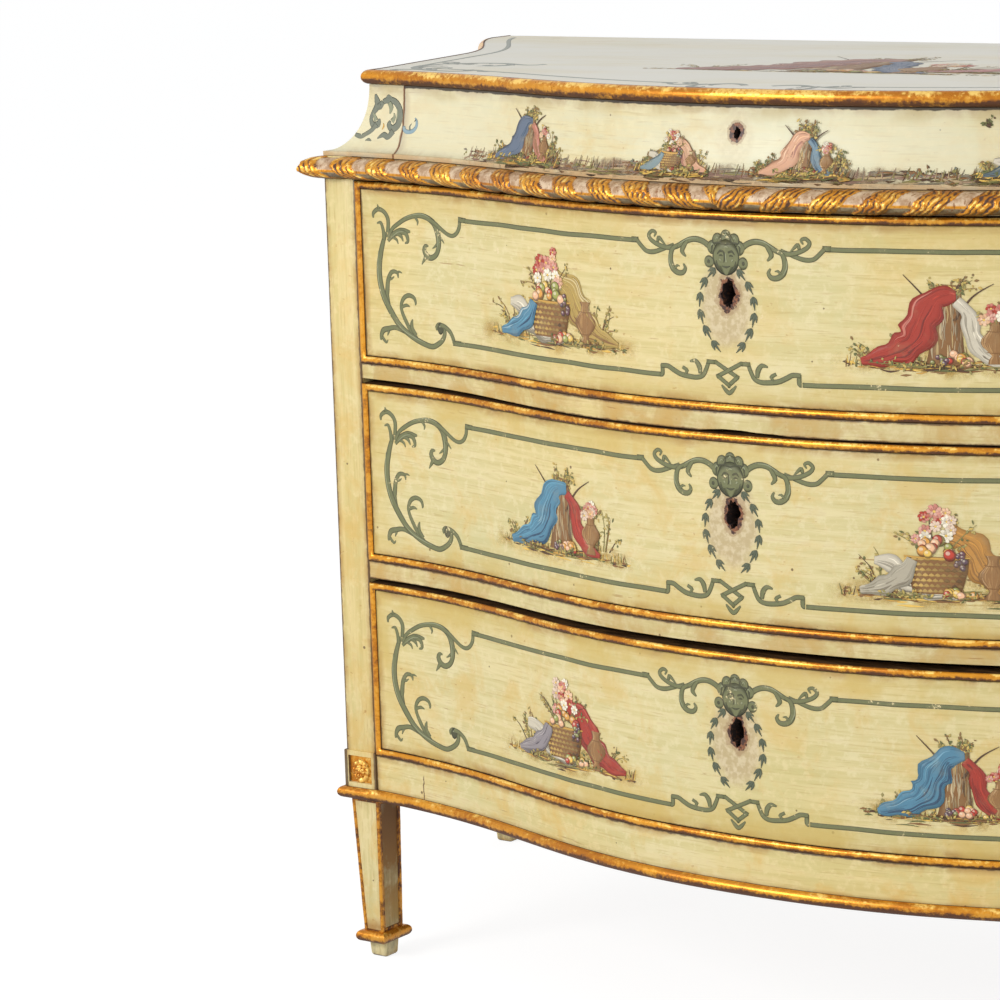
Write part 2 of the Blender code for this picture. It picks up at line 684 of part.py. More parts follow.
def make_rosette(name, side):
    """Carved flower seated in the sunk panel."""
    low_x, high_x, floor_y, low_z, high_z = sunk_panel_box(side)
    centre = Vector(((low_x + high_x) / 2, floor_y - GAP, (low_z + high_z) / 2))
    half_height = min(ROSETTE_HEIGHT, high_z - low_z - ROSETTE_CLEARANCE) / 2
    half_width = min(ROSETTE_WIDTH, high_x - low_x - ROSETTE_CLEARANCE) / 2
    count = 2 * ROSETTE_PETALS
    bm = bmesh.new()
    loops = []
    for r in range(ROSETTE_RINGS + 1):
        rise = math.pi / 2 * r / (ROSETTE_RINGS + 1)
        loop = []
        for i in range(count):
            angle = 2 * math.pi * i / count
            valley = 1 - (i % 2) * ROSETTE_VALLEY_SHARE
            share = math.cos(rise) * valley
            x = centre.x + half_width * share * math.cos(angle)
            z = centre.z + half_height * share * math.sin(angle)
            loop.append(bm.verts.new((x, centre.y - ROSETTE_DEPTH * math.sin(rise), z)))
        loops.append(loop)
    for near, far in zip(loops, loops[1:]):
        for i in range(count):
            j = (i + 1) % count
            bm.faces.new((near[i], near[j], far[j], far[i]))
    bm.faces.new(loops[0])
    bm.faces.new(loops[-1])
    bmesh.ops.recalc_face_normals(bm, faces=bm.faces)
    rosette = object_from_bmesh(name, bm)
    shade_round(rosette)
    set_finish(rosette, GILDING)


# Side panels and back

def make_side_panel(name, side):
    """Serpentine side between the posts, from the apron's foot to the ribbon moulding."""
    line = side_line()[1:SIDE_CELLS + 2]
    outer = [point.copy() for point, _ in line]
    inner = [point - normal * SIDE_THICKNESS for point, normal in line]
    for edge in (outer, inner):
        edge[0].y = POST_REAR_Y + GAP
        edge[-1].y = BACK_POST_Y - GAP
    outline = [(side * p.x, p.y) for p in outer + inner[::-1]]
    panel = plan_board(name, outline, LEG_HEIGHT, CARCASS_TOP)
    set_finish(panel, CREAM_PAINT)


def make_back_panel():
    """Back board between the posts, narrower where the coved frieze passes it."""
    wide = BACK_HALF_WIDTH - POST_SIZE - GAP
    narrow = BACK_HALF_WIDTH - COVE_SIDE_INSET - COVE_WALL - GAP
    head = TOP_BOARD_Z - GAP
    right = [(wide, LEG_HEIGHT), (wide, CARCASS_TOP), (narrow, CARCASS_TOP), (narrow, head)]
    outline = right + [(-x, z) for x, z in reversed(right)]
    panel = upright_board("back_panel", outline, BACK_PANEL_Y, BACK_Y)
    set_finish(panel, BARE_PINE)


# Runners

def make_runner(name, side, drawer_z, box_half_width):
    """Ledge under one side of a drawer, with the guide that keeps it straight."""
    top = drawer_z - GAP
    outer = FRONT_HALF_WIDTH - SIDE_THICKNESS - GAP
    guide = box_half_width + GUIDE_CLEARANCE
    guide_outer = min(guide + RUNNER_THICKNESS, outer)
    inner = box_half_width - RUNNER_LEDGE
    outline = [(inner, top - RUNNER_THICKNESS), (outer, top - RUNNER_THICKNESS), (outer, top)]
    if guide_outer < outer:
        outline += [(guide_outer, top)]
    else:
        outline = outline[:-1]
    outline += [(guide_outer, top + GUIDE_HEIGHT), (guide, top + GUIDE_HEIGHT)]
    outline += [(guide, top), (inner, top)]
    runner = upright_board(
        name, [(side * x, z) for x, z in outline], POST_REAR_Y + GAP, BACK_PANEL_Y - GAP)
    set_finish(runner, BARE_PINE)


# Drawers

def keyhole_cutter(name, z, front, back):
    """Round hole over a slot, drawn along the key's way in."""
    arc = []
    spread = math.asin(KEYHOLE_SLOT_WIDTH / 2 / KEYHOLE_RADIUS)
    for i in range(KEYHOLE_SIDES + 1):
        angle = -math.pi / 2 + spread + (2 * math.pi - 2 * spread) * i / KEYHOLE_SIDES
        arc.append((KEYHOLE_RADIUS * math.cos(angle), z + KEYHOLE_RADIUS * math.sin(angle)))
    foot = z - KEYHOLE_SLOT_LENGTH
    outline = arc + [(-KEYHOLE_SLOT_WIDTH / 2, foot), (KEYHOLE_SLOT_WIDTH / 2, foot)]
    cutter = as_mesh(upright_board(name, outline, front, back))
    PARTS.objects.unlink(cutter)
    CUTTERS.objects.link(cutter)
    return cutter


def bead_ring(place_x, place_z, inward_x, inward_z, depth_back):
    """Section of the cock bead at one station, rounded in front."""
    points = [(0.0, depth_back)]
    for i in range(BEAD_STEPS + 1):
        angle = math.pi * i / BEAD_STEPS
        across = BEAD_WIDTH * (1 - math.cos(angle)) / 2
        points.append((across, -BEAD_PROUD * math.sin(angle)))
    points.append((BEAD_WIDTH, depth_back))
    ring = []
    for across, depth in points:
        x = place_x + inward_x * across
        ring.append((x, face_y(x) + depth, place_z + inward_z * across))
    return ring


def make_bead(name, half_width, bottom, top):
    """Gilt cock bead round the edge of a deep drawer front, mitred at the corners."""
    xs = [x for x in front_xs(half_width) if abs(x) < half_width - BEAD_WIDTH]
    rings = [bead_ring(-half_width, bottom, 1, 1, FRONT_THICKNESS)]
    rings += [bead_ring(x, bottom, 0, 1, FRONT_THICKNESS) for x in xs]
    rings += [bead_ring(half_width, bottom, -1, 1, FRONT_THICKNESS)]
    rings += [bead_ring(half_width, top, -1, -1, FRONT_THICKNESS)]
    rings += [bead_ring(x, top, 0, -1, FRONT_THICKNESS) for x in reversed(xs)]
    rings += [bead_ring(-half_width, top, 1, -1, FRONT_THICKNESS)]
    bead = loft(name, rings, closed=True)
    shade_round(bead)
    return set_finish(bead, GILDING)


def make_deep_front(name, bottom, top, half_width):
    outline = bowed_outline(half_width, 0.0, FRONT_THICKNESS)
    front = as_mesh(plan_board(name, outline, bottom, top))
    return set_finish(front, CREAM_PAINT)


def make_frieze_front(name, bottom, top, half_width):
    profile = cove_profile(bottom, top)
    ahead = Vector((0.0, -1.0))
    still = Vector((0.0, 0.0))
    places = [(Vector((x, face_y(x))), ahead, still) for x in front_xs(half_width)]
    front = loft(name, [offset_ring(place, profile) for place in places])
    shade_round(front)
    return set_finish(front, CREAM_PAINT)


def make_box(drawer, half_width, front_back_inset, bottom, top):
    """Two sides, back and bottom of one drawer, and the list of them."""
    back_y = BACK_PANEL_Y - BOX_BACK_CLEARANCE
    inner = half_width - BOX_BOARD
    pieces = []
    for side, label in ((-1, "left"), (1, "right")):
        front_outer = face_y(half_width) + front_back_inset + GAP
        front_inner = face_y(inner) + front_back_inset + GAP
        outline = [(side * inner, front_inner), (side * half_width, front_outer)]
        outline += [(side * half_width, back_y), (side * inner, back_y)]
        pieces.append(plan_board(drawer + "_side_" + label, outline, bottom, top))
    inside = inner - GAP
    back_front_y = back_y - BOX_BOARD
    low = (-inside, back_front_y, bottom)
    pieces.append(box(drawer + "_back", low, (inside, back_y, top)))
    outline = [(x, face_y(x) + front_back_inset + GAP) for x in front_xs(inside)]
    outline += [(inside, back_front_y - GAP), (-inside, back_front_y - GAP)]
    floor_z = bottom + BOTTOM_RISE
    pieces.append(plan_board(drawer + "_bottom", outline, floor_z, floor_z + BOTTOM_THICKNESS))
    for piece in pieces:
        set_finish(piece, BARE_PINE)
    return pieces


def make_lock(drawer, seat_y, lock_top, keyhole_z, bolt_length, throw, above):
    """Lock on the back of a drawer front, its bolt, and the pocket the bolt enters."""
    front_y = seat_y + GAP
    low_z = keyhole_z - LOCK_BELOW_KEYHOLE
    case_low = (-LOCK_WIDTH / 2, front_y, low_z)
    case = box(drawer + "_lock", case_low, (LOCK_WIDTH / 2, front_y + LOCK_DEPTH, lock_top))
    middle_y = front_y + LOCK_DEPTH - BOLT_THICKNESS
    half = Vector((BOLT_WIDTH / 2, BOLT_THICKNESS / 2, 0.0))
    foot = Vector((0.0, middle_y, lock_top - bolt_length))
    head = Vector((0.0, middle_y, lock_top))
    room = Vector((GAP, GAP, GAP))
    overrun = Vector((0.0, 0.0, LOCK_DEPTH))
    channel = box(drawer + "_bolt_channel", foot - half - room, head + half + room + overrun, CUTTERS)
    cut(case, channel)
    reach = Vector((0.0, 0.0, throw + POCKET_CLEARANCE))
    wide = Vector((POCKET_CLEARANCE, POCKET_CLEARANCE, 0.0))
    pocket = box(drawer + "_bolt_pocket", head - half - wide, head + half + wide + reach, CUTTERS)
    cut(above, pocket)
    bolt = box(drawer + "_lock_bolt", foot - half, head + half)
    slide = carrier(drawer + "_bolt_slide", head)
    carry(bolt, slide)
    set_finish(case, LOCK_IRON)
    set_finish(bolt, LOCK_IRON)
    return case, slide


def fit_lock(drawer, front, seat_y, core_top, keyhole_z, bolt_length, headroom, above):
    """Cut the keyhole and fit the lock behind it; the bolt rises through the headroom."""
    throw = headroom + BOLT_ENGAGEMENT
    case, slide = make_lock(drawer, seat_y, core_top, keyhole_z, bolt_length, throw, above)
    before = FRONT_Y - FRONT_THICKNESS
    inside = seat_y + GAP + LOCK_KEY_DEPTH
    hole = keyhole_cutter(drawer + "_keyhole", keyhole_z, before, inside)
    cut(front, hole)
    cut(case, hole)
    return case, slide


def make_deep_drawer(drawer, bottom, height, headroom, above):
    """One of the three deep drawers: bowed front, bead, box and lock."""
    half_width = OPENING_HALF_WIDTH - DRAWER_SIDE_GAP
    top = bottom + height
    core_half = half_width - BEAD_WIDTH - GAP
    core_top = top - BEAD_WIDTH - GAP
    bead = make_bead(drawer + "_bead", half_width, bottom, top)
    front = make_deep_front(drawer + "_front", bottom + BEAD_WIDTH + GAP, core_top, core_half)
    pieces = [bead, front]
    pieces += make_box(drawer, core_half, FRONT_THICKNESS, bottom, top - BOX_SIDE_DROP)
    seat_y = face_y(LOCK_WIDTH / 2) + FRONT_THICKNESS
    keyhole_z = top - KEYHOLE_DROP
    over = headroom + BEAD_WIDTH + GAP
    pieces += fit_lock(drawer, front, seat_y, core_top, keyhole_z, BOLT_LENGTH, over, above)
    hang_drawer(drawer, bottom, pieces)


def make_frieze_drawer(drawer, above):
    """The shallow drawer behind the coved frieze."""
    half_width = FRIEZE_OPENING_HALF_WIDTH - DRAWER_SIDE_GAP
    bottom = FRIEZE_DRAWER_Z
    top = bottom + FRIEZE_DRAWER_HEIGHT
    front = make_frieze_front(drawer + "_front", bottom, top, half_width)
    back_inset = COVE_FRONT_INSET + COVE_WALL
    box_half = half_width - FRIEZE_BOX_INSET
    pieces = [front] + make_box(drawer, box_half, back_inset, bottom, top - BOX_SIDE_DROP)
    seat_y = face_y(LOCK_WIDTH / 2) + back_inset
    keyhole_z = top - FRIEZE_KEYHOLE_DROP
    pieces += fit_lock(
        drawer, front, seat_y, top, keyhole_z, FRIEZE_BOLT_LENGTH, FRIEZE_HEADROOM, above)
    hang_drawer(drawer, bottom, pieces)


def hang_drawer(drawer, bottom, pieces):
    """Parent a drawer's pieces to an empty on its line of travel."""
    slide = carrier(drawer + "_slide", (0.0, FRONT_Y, bottom))
    for piece in pieces:
        carry(piece, slide)


top_board = make_top_board()
make_top_edge_moulding()
make_ribbon_moulding()
make_base_moulding()
rail_upper = make_rail("rail_upper", UPPER_RAIL_Z, UPPER_RAIL_THICKNESS)
rail_middle = make_rail("rail_middle", MIDDLE_RAIL_Z, RAIL_THICKNESS)
rail_lower = make_rail("rail_lower", LOWER_RAIL_Z, RAIL_THICKNESS)
make_apron()
make_base_board()
make_back_panel()

FRIEZE_BOX_HALF_WIDTH = FRIEZE_OPENING_HALF_WIDTH - DRAWER_SIDE_GAP - FRIEZE_BOX_INSET
DEEP_BOX_HALF_WIDTH = OPENING_HALF_WIDTH - DRAWER_SIDE_GAP - BEAD_WIDTH - GAP
RUNNER_LEVELS = (
    ("frieze", FRIEZE_DRAWER_Z, FRIEZE_BOX_HALF_WIDTH),
    ("upper", UPPER_DRAWER_Z, DEEP_BOX_HALF_WIDTH),
    ("middle", MIDDLE_DRAWER_Z, DEEP_BOX_HALF_WIDTH),
    ("lower", LOWER_DRAWER_Z, DEEP_BOX_HALF_WIDTH),
)
for hand, label in ((-1, "left"), (1, "right")):
    make_frieze_corner("frieze_corner_" + label, hand)
    make_side_panel("side_panel_" + label, hand)
    make_post("front_post_" + label, hand, -1)
    make_post("back_post_" + label, hand, 1)
    make_rosette("rosette_" + label, hand)
    for level, level_z, box_half_width in RUNNER_LEVELS:
        make_runner(level + "_runner_" + label, hand, level_z, box_half_width)

make_frieze_drawer("frieze_drawer", top_board)
DEEP_DRAWERS = (
    ("upper_drawer", UPPER_DRAWER_Z, UPPER_DRAWER_HEIGHT, UPPER_HEADROOM, rail_upper),
    ("middle_drawer", MIDDLE_DRAWER_Z, MIDDLE_DRAWER_HEIGHT, MIDDLE_HEADROOM, rail_middle),
    ("lower_drawer", LOWER_DRAWER_Z, LOWER_DRAWER_HEIGHT, LOWER_HEADROOM, rail_lower),
)
for deep_drawer in DEEP_DRAWERS:
    make_deep_drawer(*deep_drawer)
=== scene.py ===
# Bow-fronted chest of four drawers on square tapered legs, painted cream and part gilt.
# Metres, +Z up, the front towards -Y. It is put together from the carcass outwards.
import math
import random

import bmesh
import bpy
import numpy as np
from mathutils import Matrix, Vector, noise as value_noise


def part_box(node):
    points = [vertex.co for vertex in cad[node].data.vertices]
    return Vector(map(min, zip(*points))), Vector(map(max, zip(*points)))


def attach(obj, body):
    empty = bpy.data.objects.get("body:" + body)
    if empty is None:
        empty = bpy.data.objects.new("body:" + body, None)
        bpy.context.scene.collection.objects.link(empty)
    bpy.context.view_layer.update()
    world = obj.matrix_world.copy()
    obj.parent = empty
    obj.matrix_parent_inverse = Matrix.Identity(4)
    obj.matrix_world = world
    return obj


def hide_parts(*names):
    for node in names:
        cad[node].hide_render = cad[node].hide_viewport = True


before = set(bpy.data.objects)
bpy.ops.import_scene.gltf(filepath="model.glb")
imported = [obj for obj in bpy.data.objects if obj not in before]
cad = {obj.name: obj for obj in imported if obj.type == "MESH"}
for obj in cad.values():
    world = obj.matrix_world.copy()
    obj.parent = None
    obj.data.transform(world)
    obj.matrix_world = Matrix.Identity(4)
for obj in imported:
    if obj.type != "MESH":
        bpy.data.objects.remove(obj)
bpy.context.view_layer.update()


# Studio: a white room with a pale floor that keeps a faint shadow. A large soft lamp stands in
# front to the left, a weaker one to the right, and the camera looks at the left half of the front.
def into_scene(name, data):
    made = bpy.data.objects.new(name, data)
    bpy.context.scene.collection.objects.link(made)
    return made


camera_turn, camera_dip, camera_roll = (math.radians(a) for a in (35.9488, 10.4971, -1.8318))
sensor_width, focal_px, picture_px = 36, 3946.06, 1000
ahead = Vector((-math.sin(camera_turn) * math.cos(camera_dip),
                math.cos(camera_turn) * math.cos(camera_dip), -math.sin(camera_dip)))
level = Vector((math.cos(camera_turn), math.sin(camera_turn), 0))
upright = level.cross(ahead)
rightward = level * math.cos(camera_roll) + upright * math.sin(camera_roll)
upward = upright * math.cos(camera_roll) - level * math.sin(camera_roll)
camera = into_scene("camera", bpy.data.cameras.new("camera"))
camera.matrix_world = Matrix((rightward, upward, -ahead)).transposed().to_4x4()
camera.location = (1.8333, -3.1401, 1.1585)
camera.data.sensor_width = sensor_width
camera.data.lens = sensor_width * focal_px / picture_px
camera.data.clip_start = 0.1
bpy.context.scene.camera = camera
bpy.context.scene.view_settings.view_transform = "Standard"


def lamp(name, place, size, watts, colour=(1, 1, 1)):
    """A soft lamp that looks at the middle of the chest."""
    light = bpy.data.lights.new(name, "AREA")
    light.size, light.energy, light.color = size, watts, colour
    holder = into_scene(name, light)
    holder.location = place
    holder.rotation_euler = (Vector((0, 0, 0.4)) - Vector(place)).to_track_quat("-Z", "Y").to_euler()


lamp("key_lamp", (-1.7, -3.5, 2.1), 1.6, 84, (1.0, 0.985, 0.955))
lamp("fill_lamp", (3.2, -2.4, 1.4), 2.0, 27)


class Value:
    """An output in the shader being drawn; + - * make the node that works out the result."""

    def __init__(self, socket):
        self.socket = socket

    def __add__(self, other):
        return maths("ADD", self, other)

    def __sub__(self, other):
        return maths("SUBTRACT", self, other)

    def __rsub__(self, other):
        return maths("SUBTRACT", other, self)

    def __mul__(self, other):
        return maths("MULTIPLY", self, other)


class Outputs:
    """A node's outputs, by name or number."""

    def __init__(self, node):
        self.node = node

    def __getitem__(self, key):
        return Value(self.node.outputs[key])


def feed(node, **inputs):
    """Give a node's inputs, by name or by _ and number, a plain value or another node's output."""
    for key, value in inputs.items():
        socket = node.inputs[int(key[1:]) if key[0] == "_" else key.replace("_", " ")]
        if isinstance(value, Value):
            tree.links.new(value.socket, socket)
        else:
            socket.default_value = (*value, 1) if socket.type == "RGBA" else value


def add(kind, **words):
    """A node in the shader being drawn; words in small letters set it, the others feed its inputs."""
    node = tree.nodes.new("ShaderNode" + kind)
    for key in [key for key in words if key[0].islower()]:
        setattr(node, key, words.pop(key))
    feed(node, **words)
    return Outputs(node)


def maths(operation, a, b=0.0, clamp=False):
    return add("Math", operation=operation, use_clamp=clamp, _0=a, _1=b)[0]


def seen_directly():
    """1 for rays that see the white surroundings directly, in gloss or through glass."""
    path = add("LightPath")
    return maths("MAXIMUM", maths("MAXIMUM", path["Is Camera Ray"], path["Is Glossy Ray"]),
                 path["Is Transmission Ray"])


world = bpy.data.worlds.new("white_room")
bpy.context.scene.world = world
world.use_nodes = True
tree = world.node_tree
tree.nodes.clear()
soft_light = add("Background", Color=(0.97, 0.985, 1), Strength=0.50)
white_light = add("Background", Color=(1, 1, 1), Strength=1.0)
room = add("MixShader", _0=seen_directly(), _1=soft_light[0], _2=white_light[0])
add("OutputWorld", Surface=room[0])

floor = into_scene("floor", bpy.data.meshes.new("floor"))
bm = bmesh.new()
bmesh.ops.create_grid(bm, x_segments=2, y_segments=2, size=60)
bm.to_mesh(floor.data)
bm.free()
floor_paint = bpy.data.materials.new("floor_paint")
floor_paint.use_nodes = True
tree = floor_paint.node_tree
tree.nodes.clear()
seen = seen_directly()
matt = add("BsdfDiffuse", Color=add("MapRange", _0=seen, _1=0.0, _2=1.0, _3=0.86, _4=0.26)[0])
glow = add("Emission", Color=(1, 1, 1), Strength=seen * 0.87)
add("OutputMaterial", Surface=add("AddShader", _0=matt[0], _1=glow[0])[0])
floor.data.materials.append(floor_paint)


# Carcass boards: back, base board and drawer runners are sawn pine, left bare and darkened with
# age. They are nailed and glued between the four corner posts.
def over(below, mask, above, mode="MIX"):
    """One colour laid over another where the mask is 1."""
    return add("Mix", data_type="RGBA", blend_type=mode, _0=mask, _6=below, _7=above)[2]


def layered(colour, *coats):
    """Coats of colour laid one over another, each with its mask."""
    for mask, coat in coats:
        colour = over(colour, mask, coat)
    return colour


def spread(value, low, high, to_low=0.0, to_high=1.0):
    """A value's range eased onto another range."""
    return add("MapRange", interpolation_type="SMOOTHSTEP", _0=value, _1=low, _2=high,
               _3=to_low, _4=to_high)[0]


def cloud(vector, scale, detail=3.0, rough=0.55, warp=0.0):
    return add("TexNoise", Vector=vector, Scale=scale, Detail=detail, Roughness=rough, Distortion=warp)[0]


def vectors(operation, a, **b):
    return add("VectorMath", operation=operation, _0=a, **b)[0]


def stretched(vector, stretch):
    """Coordinates multiplied along each axis, so that a pattern is drawn out."""
    return vectors("MULTIPLY", vector, _1=stretch)


def start_group(name, outputs, **inputs):
    """Begin a group of nodes: inputs by their usual values, colours with four numbers."""
    global tree
    tree = bpy.data.node_groups.new(name, "ShaderNodeTree")
    for label, value in inputs.items():
        kind = "Float" if isinstance(value, float) else "Color" if value and len(value) == 4 else "Vector"
        made = tree.interface.new_socket(label.replace("_", " "), in_out="INPUT",
                                         socket_type="NodeSocket" + kind)
        if value is not None:
            made.default_value = value
    for label in outputs.split():
        tree.interface.new_socket(label, in_out="OUTPUT",
                                  socket_type="NodeSocket" + ("Color" if label == "Color" else "Float"))
    return tree, Outputs(tree.nodes.new("NodeGroupInput")), tree.nodes.new("NodeGroupOutput")


old_pine, given, result = start_group("old_pine", "Color Roughness Height", Vector=None,
                                      Grain=(3, 60, 60), Tone=0.5)
along_grain = stretched(given["Vector"], given["Grain"])
rings = cloud(along_grain, 1.0, 2.0, 0.5, 1.2)
late_wood = spread(maths("FRACT", rings * 9.0), 0.35, 0.95)
fibres = cloud(stretched(along_grain, (2.0, 9.0, 9.0)), 1.0, 3.0)
patches = cloud(given["Vector"], 6.0, 3.0)
pine = layered((0.47, 0.30, 0.14),
               (late_wood, (0.30, 0.155, 0.055)),
               (fibres * 0.5, (0.20, 0.11, 0.05)),
               (spread(patches, 0.42, 0.72, 0.0, 0.55), (0.17, 0.10, 0.055)),
               (given["Tone"], (0.22, 0.14, 0.08)))
feed(result, Color=pine, Roughness=spread(fibres, 0.2, 0.8, 0.62, 0.85), Height=fibres + late_wood * 0.5)


def start_material(name):
    """Begin a material; the shader drawn next is its own."""
    global tree, shader
    material = bpy.data.materials.new(name)
    material.use_nodes = True
    tree = material.node_tree
    shader = tree.nodes["Principled BSDF"]
    return material


def object_place():
    return add("TexCoord")["Object"]


def roughen(strength, reach, height):
    """Fine relief on the surface being drawn."""
    feed(shader, Normal=add("Bump", Strength=strength, Distance=reach, Height=height)[0])


def finish_surface(surface, bump, reach):
    """Lead a group's colour, roughness and height into the shader."""
    feed(shader, Base_Color=surface["Color"], Roughness=surface["Roughness"])
    roughen(bump, reach, surface["Height"])


def pine_board(name, grain, tone):
    material = start_material(name)
    surface = add("Group", node_tree=old_pine, Vector=object_place(), Grain=grain, Tone=tone)
    finish_surface(surface, 0.35, 0.0006)
    return material


def dress(node, material):
    """Give a solid from the frame its finish."""
    cad[node].data.materials.clear()
    cad[node].data.materials.append(material)


pine_long = pine_board("pine_grain_across", (3, 70, 70), 0.15)
pine_deep = pine_board("pine_grain_front_to_back", (70, 3, 70), 0.10)
for node in ("back_panel", "base_board"):
    dress(node, pine_long)
for level_name in ("frieze", "upper", "middle", "lower"):
    for hand in ("left", "right"):
        dress(f"{level_name}_runner_{hand}", pine_deep)


# Front and sides of the carcass: the rails and the apron are bowed, the sides serpentine. Both
# are sawn pine under gesso and cream oil paint, with brush streaks, stains, specks and scratches.
front_centre_y, joint_gap = -0.2645, 0.0003
front_half_width, post_size, opening_half_width = 0.521, 0.0365, 0.4845
back_half_width, back_y, back_post_y = 0.6602, 0.2835, 0.2470
bow_span, bow_depth, centre_pull, end_pull = 0.5844, 0.1041, 0.4475, 0.4854

t = np.linspace(0, 1, 3001)
bow_reach = bow_span * (3 * (1 - t) ** 2 * t * centre_pull + 3 * (1 - t) * t ** 2 * end_pull + t ** 3)
bow_fall = bow_depth * (3 * (1 - t) * t ** 2 + t ** 3)


def face_y(x):
    """Face of the rails and drawers at a distance from the centre; flat over the posts."""
    return front_centre_y + float(np.interp(min(abs(x), opening_half_width), bow_reach, bow_fall))


post_face_y = face_y(opening_half_width)
post_rear_y = post_face_y + post_size


def side_x(y):
    """Half width of the carcass along the serpentine side."""
    share = min(max((y - post_rear_y) / (back_post_y - post_rear_y), 0), 1)
    sweep = max(0, (share - 0.456) / 0.544)
    return front_half_width + 0.0637 * share + 0.0755 * sweep * sweep * (3 - 2 * sweep)


def place_grid(bm, columns, rows, place):
    """A sheet of faces from one grid; place gives each corner by its column and row.

    The column and the row are kept, as shares, in the corner layers named run and across.
    """
    run = bm.verts.layers.float.get("run") or bm.verts.layers.float.new("run")
    across = bm.verts.layers.float.get("across") or bm.verts.layers.float.new("across")
    corners = bmesh.ops.create_grid(bm, x_segments=columns, y_segments=rows, size=1)["verts"]
    for corner in corners:
        i = round((corner.co.x + 1) / 2 * columns)
        j = round((corner.co.y + 1) / 2 * rows)
        corner[run], corner[across] = i / columns, j / rows
        corner.co = place(i, j)
    return corners


def close_up(bm, weld=1e-6):
    """Weld the seams of a swept sheet, cap its open ends and turn its faces outwards."""
    bmesh.ops.remove_doubles(bm, verts=bm.verts, dist=weld)
    bmesh.ops.dissolve_degenerate(bm, dist=weld, edges=bm.edges)
    bmesh.ops.holes_fill(bm, edges=[e for e in bm.edges if e.is_boundary], sides=0)
    bmesh.ops.recalc_face_normals(bm, faces=bm.faces)


def swept(columns, rows, place, weld=1e-6):
    """A closed solid from one sheet of faces."""
    bm = bmesh.new()
    place_grid(bm, columns, rows, place)
    close_up(bm, weld)
    return bm


def new_piece(name, bm, materials, replaces=(), body="carcass", sharp=40):
    """Turn a finished mesh into a piece that rides with its body."""
    mesh = bpy.data.meshes.new(name)
    bm.to_mesh(mesh)
    bm.free()
    mesh.shade_smooth()
    mesh.set_sharp_from_angle(angle=math.radians(sharp))
    piece = into_scene(name, mesh)
    for material in materials:
        mesh.materials.append(material)
    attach(piece, body)
    if replaces:
        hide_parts(*replaces)
    return piece


cream_paint, given, result = start_group(
    "old_cream_paint", "Color Roughness Height", Vector=None, Streaks=(9, 9, 170),
    Ground=(0.640, 0.570, 0.285, 1), Stain=(0.66, 0.47, 0.155, 1), Staining=0.5, Dirt=0.0, Crevice=0.0,
    Yellowing=0.7)
place = given["Vector"]
streaks = cloud(stretched(place, given["Streaks"]), 1.0, 4.0, 0.6)
broad = cloud(place, 6.0, 4.0, 0.6)
blotches = cloud(place, 21.0, 5.0, 0.65, 0.5)
mottle = cloud(place, 95.0, 4.0, 0.65)
bristles = cloud(stretched(place, stretched(given["Streaks"], (3.0, 3.0, 3.2))), 1.0, 3.0, 0.6)
freckles = cloud(stretched(place, (150.0, 150.0, 330.0)), 1.0, 2.0, 0.5)
scratches = cloud(stretched(place, stretched(given["Streaks"], (0.9, 0.9, 0.9))), 2.3, 2.0, 0.4, 0.3)
specks = add("TexVoronoi", feature="F1", Vector=place, Scale=85.0)
speck_size = spread(add("SeparateColor", _0=specks["Color"])[0], 0.86, 1.0, 0.0, 0.13)
speck = maths("LESS_THAN", specks["Distance"], speck_size)
chips = spread(cloud(place, 46.0, 5.0, 0.7), 0.70, 0.72)
stained = spread(blotches, 0.45, 0.70) * given["Staining"]
colour = layered(
    given["Ground"],
    (spread(streaks, 0.36, 0.66), (0.745, 0.665, 0.385)),
    (spread(broad, 0.46, 0.66, 0.0, 0.42), (0.560, 0.555, 0.295)),
    (spread(mottle, 0.48, 0.66, 0.0, 0.50), (0.80, 0.73, 0.47)),
    (spread(bristles, 0.46, 0.30, 0.0, 0.42), (0.46, 0.35, 0.13)),
    (stained, given["Stain"]),
    (spread(streaks, 0.52, 0.80) * spread(mottle, 0.42, 0.70) * 0.50, (0.44, 0.29, 0.09)),
    (spread(freckles, 0.69, 0.75) * spread(blotches, 0.42, 0.62) * 0.60, (0.42, 0.22, 0.06)),
    (speck * 0.80, (0.10, 0.05, 0.015)),
    (spread(scratches, 0.72, 0.77) * spread(mottle, 0.38, 0.6) * 0.65, (0.33, 0.17, 0.05)),
    (chips * 0.55, (0.83, 0.72, 0.50)))
yellowed = spread(cloud(place, 3.2, 3.0), 0.40, 0.60, 0.35, 1.0) * given["Yellowing"]
colour = over(colour, yellowed, (1.045, 0.930, 0.715), "MULTIPLY")
grime = maths("MULTIPLY", given["Dirt"], spread(blotches, 0.36, 0.58, 0.12, 1.0), True)
# grime from the Dirt input; Crevice lays a near-black line along a face's edges, dirt in the joints and painted
# shade where parts meet
colour = layered(colour, (grime, (0.37, 0.195, 0.050)), (given["Crevice"] * 0.85, (0.060, 0.022, 0.006)))
feed(result, Color=colour, Roughness=spread(stained + grime, 0.0, 1.0, 0.42, 0.64),
     Height=streaks * 0.8 + mottle * 0.35 - maths("MAXIMUM", speck, chips) * 0.9)

near_edge, given, result = start_group("near_edge", "Mask Crevice", Vector=None, Middle=(0, 0, 0.5),
                                       Half_Size=(0.5, 9, 0.1), Reach=0.01)
place = given["Vector"]
apart = vectors("ABSOLUTE", vectors("SUBTRACT", place, _1=given["Middle"]))
inside = add("SeparateXYZ", _0=vectors("SUBTRACT", given["Half Size"], _1=apart))
least = maths("MINIMUM", inside[0], maths("MINIMUM", inside[1], inside[2]))
close_by = least - cloud(place, 34.0, 4.0, 0.6) * given["Reach"] * 1.1
# Crevice: a line right at a face's edges that the paint darkens, as dirt in the joints and painted shade where
# parts meet
feed(result, Mask=add("MapRange", _0=close_by, _1=given["Reach"], _2=0.0, _3=0.0, _4=1.0)[0],
     Crevice=spread(least - cloud(place, 110.0, 3.0, 0.6) * 0.0030, 0.0006, -0.0008))


